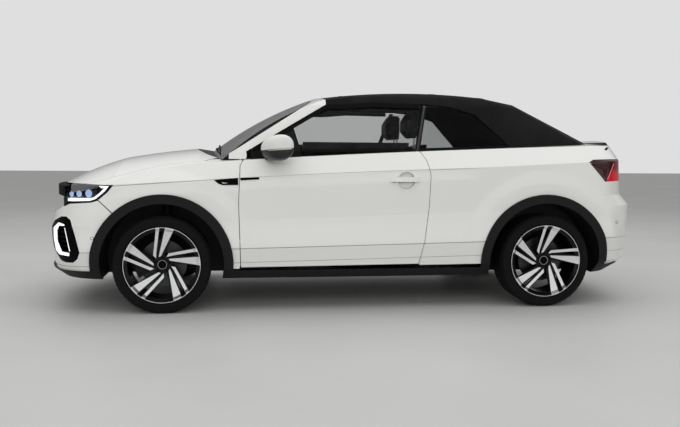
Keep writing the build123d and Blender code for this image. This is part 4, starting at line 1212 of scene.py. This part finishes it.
    def jambs(self, side: Side, library: Library) -> None:
        """Painted lips on the body along the door's shut lines, so that the gap reads as narrow as it is."""
        for name, node, line, shift, place in self.jamb_lines:
            skin = Skin(node)
            rings = []
            for x, z in smooth_path(line, 12.0):
                y = skin.side(x + shift, z, side.sign)
                if y is None:
                    continue
                front, rear = x + place - self.jamb_width / 2, x + place + self.jamb_width / 2
                outer, inner = (y - side.sign * deep for deep in self.jamb_depths)
                rings.append([(end * MM, face * MM, z * MM)
                              for end, face in ((front, outer), (rear, outer), (rear, inner), (front, inner))])
            piece(f"{name}_{side.word}", bar(rings), library["paint"], "body", smooth=False)

    def sensor(self, name: str, x: float, z: float, skin: Skin, side: Side, library: Library) -> None:
        """Sets a parking sensor, a small painted disc in a dark ring, on the bumper.

        Args:
            name: the sensor's name.
            x: its place along the car.
            z: its height.
            skin: the bumper's surface.
            side: the side of the car.
            library: the materials.
        """
        reach = 8.0
        y, ahead, above = (skin.side(x + dx, z + dz, side.sign) for dx, dz in ((0, 0), (reach, 0), (0, reach)))
        if y is None:
            return
        normal = Vector((-(ahead - y) / reach, 1.0, -(above - y) / reach)) * side.sign
        turn = normal.normalized().to_track_quat("Y", "Z").to_matrix()
        place = Vector((x, y, z)) * MM
        for part, r0, r1, lift, finish in (("ring", self.sensor_disc, self.sensor_radius, 0.8, "seal"),
                                           ("disc", 0.3, self.sensor_disc, 0.5, "paint")):
            verts, faces = lathe([(-3, r0), (lift, r0), (lift, r1), (-3, r1)], Vector(), 24)
            verts = np.array([tuple(turn @ Vector(v) + place) for v in verts])
            piece(f"{name}_{part}_{side.word}", (verts, faces), library[finish], "body", smooth=False)


@dataclass
class TailTrim:
    """Valance, blank plate, handle strip and reflectors at the tail. Sizes in mm."""

    half_width: float = 600.0
    plate_half: float = 260.0
    handle_half: float = 180.0
    reflector: Point = (470.0, 590.0)

    def build(self, library: Library) -> None:
        """Lays the trim.

        Args:
            library: the materials.
        """
        bumper, lid = Skin("rear_bumper"), Skin("boot_lid")
        EndTrim("rear_valance", (-self.half_width, self.half_width), (300.0, 415.0), "plastic",
                proud=2.0).build(bumper, library)
        EndTrim("rear_plate", (-self.plate_half, self.plate_half), (560.0, 670.0), "plate", proud=3.0, depth=12.0,
                flat=True, columns=4).build(bumper, library)
        EndTrim("boot_handle_strip", (-self.handle_half, self.handle_half), (893.0, 912.0), "gloss",
                "boot_lid").build(lid, library)
        for side in Side:
            inner, outer = sorted(side.sign * off for off in self.reflector)
            # The reflectors' slight glow is a painted highlight
            EndTrim(f"rear_reflector_{side.word}", (inner, outer), (437.0, 462.0), "red", columns=8,
                    rows=2).build(bumper, library)


# ---------------------------------------------------------------------- lamps
@dataclass
class Lamps:
    """What shows inside the headlamps: a glass lens on each projector. Sizes in mm."""

    projectors: tuple[tuple[float, float, float, float], ...] = (    # x, off the middle, z, radius
        (-1893.0, 771.0, 782.0, 20.0), (-1838.0, 811.0, 786.0, 24.0), (-1772.0, 842.0, 790.0, 30.0))
    dome: tuple[Point, ...] = ((5.0, 0.0), (4.6, 0.35), (3.4, 0.65), (1.4, 0.88), (0.2, 0.88), (0.2, 0.0))
    aim: Point = (-0.5, 0.866)
    set_back: float = 24.0
    least_radius: float = 0.3

    def build(self, library: Library) -> None:
        """Sets the projector lenses in both headlamps.

        Args:
            library: the materials.
        """
        for side in Side:
            direction = Vector((self.aim[0], self.aim[1] * side.sign, 0))
            turn = direction.to_track_quat("Y", "Z").to_matrix()
            for number, (x, off, z, radius) in enumerate(self.projectors):
                face = Vector((x, off * side.sign, z)) - direction * self.set_back
                profile = [(lift, max(share * radius, self.least_radius)) for lift, share in self.dome]
                verts, faces = lathe(profile, Vector(), 32)
                verts = np.array([tuple(turn @ Vector(v) + face * MM) for v in verts])
                piece(f"projector_lens_{number}_{side.word}", (verts, faces), library["projector"], "body")


@dataclass
class Wipers:
    """Two flat wipers parked at the foot of the windscreen. Sizes in mm."""

    spans: tuple[Triple, ...] = ((-560.0, -60.0, -120.0), (40.0, 590.0, 540.0))    # blade from, to, pivot
    blade_x: float = -925.0
    arm_x: float = -948.0
    rubber_radius: float = 2.5
    back_radius: float = 4.0
    arm_radius: float = 4.0
    back_inset: float = 15.0
    gap: float = 2.0

    def build(self, library: Library) -> None:
        """Lays blades, backs and arms over the glass.

        Args:
            library: the materials.
        """
        skin = Skin("windscreen")
        on_rubber = 2 * self.rubber_radius + self.back_radius + self.gap
        for number, (start, end, pivot) in enumerate(self.spans):
            rubber = self.over_glass(skin, self.blade_x, start, end, self.rubber_radius + self.gap)
            back = self.over_glass(skin, self.blade_x, start + self.back_inset, end - self.back_inset, on_rubber)
            arm = self.over_glass(skin, self.arm_x, pivot, (start + end) / 2, 2 * self.back_radius)
            arm.append(back[len(back) // 2])
            for part, line, radius, finish in (("rubber", rubber, self.rubber_radius, "seal"),
                                               ("back", back, self.back_radius, "plastic"),
                                               ("arm", arm, self.arm_radius, "plastic")):
                obj = piece(f"wiper_{part}_{number}", tube(line, radius * MM, 8), library[finish], "body")
                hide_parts("wipers")

    @staticmethod
    def over_glass(skin: Skin, x: float, start: float, end: float, lift: float) -> list[Vector]:
        """Points above the glass along y, in metres."""
        places = [skin.below(x, y) for y in np.linspace(start, end, 16)]
        return [place + normal.normalized() * lift * MM for place, normal in places if place is not None]


# ----------------------------------------------------------------- soft goods
@dataclass
class Pad:
    """One stuffed piece of a seat: a closed form that cloth pressure rounds. Sizes in mm."""

    name: str
    rows: list[Triple]           # x, z and angle from level in degrees, along the pad's face
    half_widths: list[float]     # at each row
    thickness: list[float]
    y_middle: float
    cap: float                   # the furthest that a point may swell
    finish: str
    node: str                    # the CAD node whose space it fills
    voxel: float = 8.0
    pressure: float = 4.0
    frames: int = 18
    end_pinch: float = 0.9
    section: tuple[Point, ...] = (               # across and deep, as shares of half width and thickness
        (-1, 0.18), (-0.9, 0.02), (-0.72, 0.0), (-0.5, 0.10), (0.5, 0.10), (0.72, 0.0), (0.9, 0.02), (1, 0.18),
        (1, 0.8), (0.86, 1.0), (-0.86, 1.0), (-1, 0.8))

    def form(self) -> tuple[np.ndarray, list]:
        """The left pad before it swells: rings of points with sides pulled in between the corners."""
        rings = []
        last = len(self.rows) - 1
        for number, (row, half, thick) in enumerate(zip(self.rows, self.half_widths, self.thickness)):
            x, z, angle = row
            inward = Vector((math.sin(math.radians(angle)), 0, -math.cos(math.radians(angle))))
            reach = half * (self.end_pinch if number in (0, last) else 1.0)
            rings.append([(Vector((x, across * reach - self.y_middle, z)) + inward * deep * thick) * MM
                          for across, deep in self.section])
        return bar(rings)

    def build(self, library: Library) -> bpy.types.Object:
        """Makes the left pad, swells it as cloth under pressure and smooths it.

        Args:
            library: the materials.
        Returns:
            The pad.
        """
        pad = piece(f"{self.name}_left", self.form(), library[self.finish], "body")
        self.settle(pad)
        self.smooth(pad)
        return pad

    def settle(self, pad: bpy.types.Object) -> None:
        """Remeshes the pad and lets cloth pressure round it, no point further than the cap."""
        remesh = pad.modifiers.new("even", "REMESH")
        remesh.mode = "VOXEL"
        remesh.voxel_size = self.voxel * MM * 1
        self.apply(pad)
        start = [v.co.copy() for v in pad.data.vertices]
        scene = bpy.context.scene
        cloth = pad.modifiers.new("swell", "CLOTH")
        cloth.settings.use_pressure = True
        cloth.settings.uniform_pressure_force = self.pressure
        cloth.settings.effector_weights.gravity = 0.0
        cloth.settings.quality = 4
        cloth.collision_settings.use_collision = False
        for frame_number in range(1, self.frames + 1):
            scene.frame_set(frame_number)
        self.apply(pad)
        scene.frame_set(1)
        for vertex, origin in zip(pad.data.vertices, start):
            move = vertex.co - origin
            if move.length > self.cap * MM:
                vertex.co = origin + move.normalized() * self.cap * MM

    @staticmethod
    def apply(pad: bpy.types.Object) -> None:
        """Turns the pad's modifiers into mesh."""
        graph = bpy.context.evaluated_depsgraph_get()
        mesh = bpy.data.meshes.new_from_object(pad.evaluated_get(graph))
        pad.modifiers.clear()
        pad.data = mesh

    @staticmethod
    def smooth(pad: bpy.types.Object) -> None:
        """Evens out the voxel steps and shades the pad smoothly."""
        work = bmesh.new()
        work.from_mesh(pad.data)
        for _ in range(4):
            bmesh.ops.smooth_vert(work, verts=work.verts, factor=0.5, use_axis_x=True, use_axis_y=True,
                                  use_axis_z=True)
        work.to_mesh(pad.data)
        work.free()
        pad.data.shade_smooth()


def mirrored_copy(obj: bpy.types.Object, name: str) -> bpy.types.Object:
    """Makes the same piece on the other side of the car, with its faces turned the right way.

    Args:
        obj: the piece on the left.
        name: the new piece's name.
    Returns:
        The piece on the right.
    """
    mesh = obj.data.copy()
    work = bmesh.new()
    work.from_mesh(mesh)
    for vertex in work.verts:
        vertex.co.y = -vertex.co.y
    bmesh.ops.reverse_faces(work, faces=work.faces)
    work.to_mesh(mesh)
    work.free()
    return put(name, mesh, "body")


@dataclass
class Base:
    """A hard part of a seat: a side-view outline that is as wide as its two offsets say. Sizes in mm."""

    name: str
    outline: list[Point]
    offsets: Point
    finish: str
    node: str

    def build(self, library: Library) -> bpy.types.Object:
        """Makes the left one.

        Args:
            library: the materials.
        Returns:
            The part.
        """
        layers = [[(x * MM, -y * MM, z * MM) for x, z in self.outline] for y in self.offsets]
        return piece(f"{self.name}_left", bar(layers), library[self.finish], "body", smooth=False)


@dataclass
class Seats:
    """Two front chairs and the rear bench: plastic bases with padded cushions. Sizes in mm."""

    chair_y: float = 370.0
    bench_y: float = 280.0
    post: list[Point] = field(default_factory=lambda: [(500, 1060), (508, 1200), (520, 1200), (512, 1060)])
    post_places: tuple[Point, ...] = ((-62.0, -50.0), (50.0, 62.0))
    fill: float = 0.7

    def chair(self) -> list[Base | Pad]:
        """The parts of a front chair: base, shell, posts of the head rest and three pads."""
        y = self.chair_y
        posts = [Base(f"chair_post_{word}", self.post, (y + near, y + far), "silver", "front_seats")
                 for word, (near, far) in zip(("inner", "outer"), self.post_places)]
        return [
            Base("chair_base", [(-95, 262), (-110, 430), (340, 425), (430, 400), (370, 262)], (y - 190, y + 190),
                 "cabin", "front_seats"),
            Base("chair_shell", [(430, 400), (452, 640), (512, 1120), (544, 1130), (512, 640), (465, 400)],
                 (y - 205, y + 205), "cabin", "front_seats"),
            *posts,
            Pad("chair_cushion", [(-128, 478, 4), (-60, 522, 2), (80, 532, -2), (220, 520, -4), (338, 508, -8)],
                [215, 238, 242, 240, 215], [60, 92, 96, 92, 70], y, 14, "cloth", "front_seats"),
            Pad("chair_back", [(352, 556, -73), (372, 660, -77), (402, 790, -81), (432, 960, -81), (452, 1128, -82)],
                [200, 236, 240, 226, 160], [74, 84, 80, 76, 66], y, 12, "cloth", "front_seats"),
            Pad("chair_head_rest", [(530, 1182, -84), (524, 1230, -86), (524, 1305, -88), (534, 1372, -90)],
                [100, 116, 118, 92], [78, 112, 112, 74], y, 10, "leather", "front_seats"),
        ]

    def bench(self) -> list[Base | Pad]:
        """The parts of one half of the rear bench: base and three pads."""
        y = self.bench_y
        return [
            Base("bench_base", [(856, 472), (850, 478), (1150, 478), (1262, 1080), (1288, 1080), (1296, 472)],
                 (6, y + 272), "cabin", "rear_bench"),
            Pad("bench_cushion", [(846, 536, 4), (900, 546, 2), (990, 543, -2), (1110, 534, -3)],
                [250, 264, 264, 250], [60, 72, 72, 60], y, 10, "cloth", "rear_bench"),
            Pad("bench_back", [(1142, 566, -78), (1160, 700, -82), (1180, 870, -82), (1196, 1010, -83)],
                [240, 262, 262, 230], [60, 76, 76, 56], y, 10, "cloth", "rear_bench"),
            Pad("bench_head_rest", [(1206, 1050, -84), (1207, 1090, -86), (1212, 1132, -88)],
                [100, 108, 92], [44, 52, 36], y, 6, "leather", "rear_bench"),
        ]

    def build(self, library: Library) -> None:
        """Builds the left half, mirrors it and hides the CAD node of each part.

        Args:
            library: the materials.
        """
        for part in (*self.chair(), *self.bench()):
            left = part.build(library)
            for obj in (left, mirrored_copy(left, f"{part.name}_right")):
                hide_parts(part.node)


@dataclass
class SoftTop:
    """The folding top: one stretched skin over its bows, a lining below it, and sewn seams. Sizes in mm."""

    cloth_thickness: float = 3.0
    seam_width: float = 9.0
    seam_height: float = 1.8
    seam_depth: float = 2.0
    cross_seams: tuple[float, ...] = (-40.0, 640.0, 1010.0)
    side_seam: float = 455.0
    axis_span: Point = (100.0, 1250.0)           # the line inside the cabin from which faces look out or in
    axis_z: float = 950.0
    turn_over: float = 0.3

    def build(self, library: Library) -> None:
        """Splits the CAD shell into skin, lining and edge binding, and sews the seams on the skin.

        Args:
            library: the materials.
        """
        groups: dict[str, list[int]] = {"skin": [], "lining": [], "binding": []}
        work = bmesh.new()
        work.from_mesh(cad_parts["soft_top"].data)
        bmesh.ops.remove_doubles(work, verts=work.verts, dist=1e-5)
        work.faces.ensure_lookup_table()
        start, end = self.axis_span
        for face in work.faces:
            place = face.calc_center_median()
            axis = Vector((min(max(place.x / MM, start), end), 0, self.axis_z)) * MM
            facing = face.normal.dot((place - axis).normalized())
            layer = "skin" if facing > self.turn_over else "lining" if facing < -self.turn_over else "binding"
            groups[layer].append(face.index)
        made = {part: self.layer(work, part, chosen, library) for part, chosen in groups.items()}
        work.free()
        seams = self.seams(library)
        skin, lining = made["skin"], made["lining"]
        for obj in (*made.values(), *seams):
            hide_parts("soft_top")
        self.declare(skin, ["windscreen_frame", "rear_deck", "quarter_panels"], seams + [made["binding"]])
        self.declare(lining, [skin.name], [])

    def layer(self, work: bmesh.types.BMesh, name: str, chosen: list[int], library: Library) -> bpy.types.Object:
        """Makes one layer of the top from some of the shell's faces, thickened into the shell.

        Args:
            work: the merged shell.
            name: the layer's name.
            chosen: numbers of its faces.
            library: the materials.
        Returns:
            The layer.
        """
        layer = work.copy()
        layer.faces.ensure_lookup_table()
        keep = set(chosen)
        bmesh.ops.delete(layer, geom=[f for f in layer.faces if f.index not in keep], context="FACES")
        bmesh.ops.solidify(layer, geom=layer.faces[:], thickness=self.cloth_thickness * MM)
        bmesh.ops.recalc_face_normals(layer, faces=layer.faces)
        mesh = bpy.data.meshes.new(f"soft_top_{name}")
        layer.to_mesh(mesh)
        layer.free()
        mesh.materials.append(library["canvas" if name != "lining" else "headliner"])
        mesh.shade_smooth()
        mesh.set_sharp_from_angle(angle=math.radians(28))
        return put(f"soft_top_{name}", mesh, "body")

    @staticmethod
    def declare(obj: bpy.types.Object, rests_on: list[str], with_pieces: list[bpy.types.Object]) -> None:
        """Does nothing with the layer; it is not declared as cloth.

        Args:
            obj: the layer; not used.
            rests_on: names of what carries it; not used.
            with_pieces: what is sewn to it; not used.
        """

    def seams(self, library: Library) -> list[bpy.types.Object]:
        """Flat felled seams across the bows and along both edges of the roof."""
        skin = Skin("soft_top")
        made = []
        for number, x in enumerate(self.cross_seams):
            centre = Vector((x, 0, self.axis_z)) * MM
            path = []
            for degrees in range(-74, 75, 2):
                aim = Vector((0, math.sin(math.radians(degrees)), math.cos(math.radians(degrees))))
                hit = skin.out(centre, aim)
                if hit is not None and (hit - centre).length > 0.3:
                    path.append((hit, aim))
            made.append(self.ribbon(f"cross_seam_{number}", path, library))
        up = Vector((0, 0, 1))
        for side in Side:
            starts = [Vector((x, side.sign * self.side_seam, 1100)) * MM for x in range(-150, 1830, 30)]
            hits = [skin.out(start, up) for start in starts]
            path = [(hit, up) for hit in hits if hit is not None]
            made.append(self.ribbon(f"side_seam_{side.word}", path, library))
        return made

    def ribbon(self, name: str, path: list[tuple[Vector, Vector]], library: Library) -> bpy.types.Object:
        """A flat strip along surface points.

        Args:
            name: the piece's name.
            path: pairs of a surface point and the way out of the surface.
            library: the materials.
        Returns:
            The strip.
        """
        half = self.seam_width / 2
        # Across and up: foot, shoulder, shoulder, foot, and the root below the cloth
        section = ((-half, 0.2), (-0.7 * half, self.seam_height), (0.7 * half, self.seam_height), (half, 0.2),
                   (half, -self.seam_depth), (-half, -self.seam_depth))
        rings = []
        for i, (point, out) in enumerate(path):
            tangent = (path[min(i + 1, len(path) - 1)][0] - path[max(i - 1, 0)][0]).normalized()
            across = tangent.cross(out).normalized()
            up = across.cross(tangent).normalized()
            up = up if up.dot(out) > 0 else -up
            rings.append([point + across * side * MM + up * rise * MM for side, rise in section])
        return piece(name, bar(rings), library["canvas"], "body", smooth=False)


# --------------------------------------------------------------------- studio
@dataclass
class Softbox:
    """A rectangular lamp. Sizes and places in metres."""

    name: str
    size: Point
    power: float
    place: Triple
    aim: Triple = (0.0, 0.0, 0.6)

    def build(self) -> None:
        """Hangs the lamp; gloss doesn't see it, so that it leaves no white patch on glass."""
        data = bpy.data.lights.new(self.name, "AREA")
        data.shape = "RECTANGLE"
        data.size, data.size_y = self.size
        data.energy = self.power
        lamp = put(self.name, data)
        lamp.location = self.place
        lamp.rotation_euler = (Vector(self.aim) - Vector(self.place)).to_track_quat("-Z", "Y").to_euler()
        lamp.visible_glossy = False


@dataclass
class Studio:
    """A plain pale floor, soft lamps, a pale world and the camera."""

    lens: float = 41.33
    angles: Triple = (7.842, -4.346, 0.435)      # yaw, pitch and roll in degrees
    place: Triple = (-0.835, -6.056, 1.057)
    floor_half: float = 40.0
    floor_colours: tuple[str, str] = ("#BDBDBB", "#CFCFCD")
    world_colour: str = "#E4E4E4"
    seen: float = 0.95           # strength of the world for the camera and through glass
    cast: float = 0.55           # strength of its light on the car

    def build(self) -> None:
        """Builds floor, lamps, world and camera."""
        self.floor()
        Softbox("overhead_softbox", (14.0, 9.0), 330.0, (0.0, -0.5, 5.6), (0.0, 0.0, 0.5)).build()
        Softbox("side_softbox", (8.0, 2.5), 120.0, (-1.0, -7.5, 3.4)).build()
        Softbox("far_softbox", (8.0, 2.5), 45.0, (1.0, 7.5, 3.8)).build()
        self.world()
        self.camera()

    def floor(self) -> None:
        """A wide pale floor that keeps the car's shadow."""
        dark, pale = self.floor_colours
        mat = Finish("pale_grey_studio_floor_painted", pale, 0.5).build()
        tree = mat.node_tree
        place = add(tree, "ShaderNodeTexCoord").outputs["Object"]
        cloud = add(tree, "ShaderNodeTexNoise", {"Vector": place, "Scale": 0.8, "Detail": 4.0})
        tone = add(tree, MIX, {0: cloud, 6: linear(dark), 7: linear(pale)}, data_type="RGBA")
        feed(tree, tree.nodes["Principled BSDF"], {"Base Color": tone.outputs[2]})
        mesh = bpy.data.meshes.new("studio_floor")
        half = self.floor_half
        corners = [(-half, -half, 0), (half, -half, 0), (half, half, 0), (-half, half, 0)]
        mesh.from_pydata(corners, [], [(0, 1, 2, 3)])
        mesh.materials.append(mat)
        put("studio_floor", mesh)

    def world(self) -> None:
        """A pale world that the camera and glass see; gloss sees it dark at the far horizon and bright above."""
        world = bpy.data.worlds.new("studio_world")
        bpy.context.scene.world = world
        world.use_nodes = True
        tree = world.node_tree
        paths = add(tree, "ShaderNodeLightPath").outputs
        bounces = add(tree, MATH, {0: paths["Diffuse Depth"], 1: paths["Glossy Depth"]}, operation="ADD")
        straight = add(tree, MATH, {0: bounces, 1: 0.5}, operation="LESS_THAN")
        through = add(tree, MATH, {0: paths["Is Transmission Ray"], 1: straight}, operation="MULTIPLY")
        seen = add(tree, MATH, {0: paths["Is Camera Ray"], 1: through}, operation="MAXIMUM")
        plain = add(tree, MIX, {0: paths["Is Glossy Ray"], 2: self.cast, 3: self.reflected(tree)})
        strength = add(tree, MIX, {0: seen, 2: plain, 3: self.seen})
        feed(tree, tree.nodes["Background"], {"Strength": strength, "Color": linear(self.world_colour)})

    @staticmethod
    def reflected(tree: bpy.types.NodeTree) -> bpy.types.Node:
        """How bright gloss sees the world.

        Args:
            tree: the world's tree.
        Returns:
            A node that gives the strength in each direction.
        """
        _, ahead, up = add(tree, SPLIT, {0: add(tree, "ShaderNodeTexCoord").outputs["Generated"]}).outputs
        # Far side, its upper part, straight above, near side and its level part: where each starts and is full
        far, raised, top, near, level = (
            add(tree, RANGE, {0: way, 1: start, 2: full}, **SMOOTH) for way, start, full in (
                (ahead, -0.1, 0.2), (up, 0.15, 0.6), (up, 0.82, 0.96), (ahead, 0.0, -0.5), (up, 0.5, 0.2)))
        beyond = add(tree, MATH, {0: far, 1: raised}, operation="MULTIPLY")
        high = add(tree, MATH, {0: beyond, 1: top}, operation="MAXIMUM")
        beside = add(tree, MATH, {0: near, 1: level}, operation="MULTIPLY")
        bright = 0.08
        for part, share in ((high, 0.75), (beside, 0.95), (far, 0.25)):
            bright = add(tree, MATH, {0: part, 1: share, 2: bright}, operation="MULTIPLY_ADD")
        return bright

    def camera(self) -> None:
        """The camera at the car's left side, a little behind its nose."""
        data = bpy.data.cameras.new("camera")
        data.sensor_width = 36.0
        data.lens = self.lens
        yaw, pitch, roll = (math.radians(angle) for angle in self.angles)
        turn = (Matrix.Rotation(-yaw, 4, "Z") @ Matrix.Rotation(math.radians(90) + pitch, 4, "X")
                @ Matrix.Rotation(roll, 4, "Z"))
        camera = put("camera", data)
        camera.matrix_world = Matrix.Translation(Vector(self.place)) @ turn
        bpy.context.scene.camera = camera


# ------------------------------------------------------------------ all of it
DRESSED = {
    "paint": ("rear_deck", "front_bumper", "rear_bumper", "door_handle_left", "door_handle_right"),
    "panel": ("door_left", "door_right", "windscreen_frame", "fenders", "quarter_panels"),
    "hood_panel": ("hood",),
    "lid_panel": ("boot_lid",),
    "plastic": ("arch_and_sill_trim", "cowl"),
    "gloss": ("corner_intakes",),
    "grille": ("front_grilles",),
    "bezel": ("headlamps",),
    "lens": ("headlamp_lenses",),
    "light": ("running_lights",),
    "red_lens": ("tail_lamp_lenses",),
    "lamp_back": ("tail_lamps",),
    "glass": ("door_window_left", "door_window_right"),
    "screen": ("windscreen",),
    "privacy": ("quarter_windows", "rear_window"),
    "divider": ("divider_strips",),
    "canvas": ("soft_top",),
    "mirror": ("mirror_left", "mirror_right"),
    "chassis": ("floor_and_firewall", "undertrays", "wheel_liners", "front_subframe", "rear_axle", "rear_dampers",
                "engine_block", "knuckle_left", "knuckle_right"),
    "iron": tuple(f"brake_disc_{axle.value}_{side.word}" for axle in Axle for side in Side),
    "rim_front": ("rim_front_left", "rim_front_right"),
    "rim_rear": ("rim_rear_left", "rim_rear_right"),
    "cabin": ("dashboard", "centre_console", "steering_column"),
    "leather": ("steering_wheel",),
}


def dress_nodes(library: Library) -> None:
    """Gives every CAD node its finish.

    Args:
        library: the materials.
    """
    for finish, nodes in DRESSED.items():
        for name in nodes:
            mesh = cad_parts[name].data
            mesh.materials.clear()
            mesh.materials.append(library[finish])
            LOG.info("%s: %s", name, library[finish].name)


def main() -> None:
    """Builds the sub-assemblies in order."""
    library = Library()
    dress_nodes(library)
    tread = ring_tree("tread_blocks", library["rubber"])
    bolts = ring_tree("wheel_bolts", library["gloss"], round_sides=6)
    for axle in Axle:
        for side in Side:
            wheel = Wheel(axle, side)
            wheel.build_tyre(library, tread)
            wheel.build_hub(library, bolts)
    for part in (BodyTrim(), TailTrim(), Lamps(), Wipers(), SoftTop(), Seats()):
        part.build(library)
    Studio().build()
    bpy.context.scene.view_settings.view_transform = "Standard"


if __name__ == "__main__":
    main()
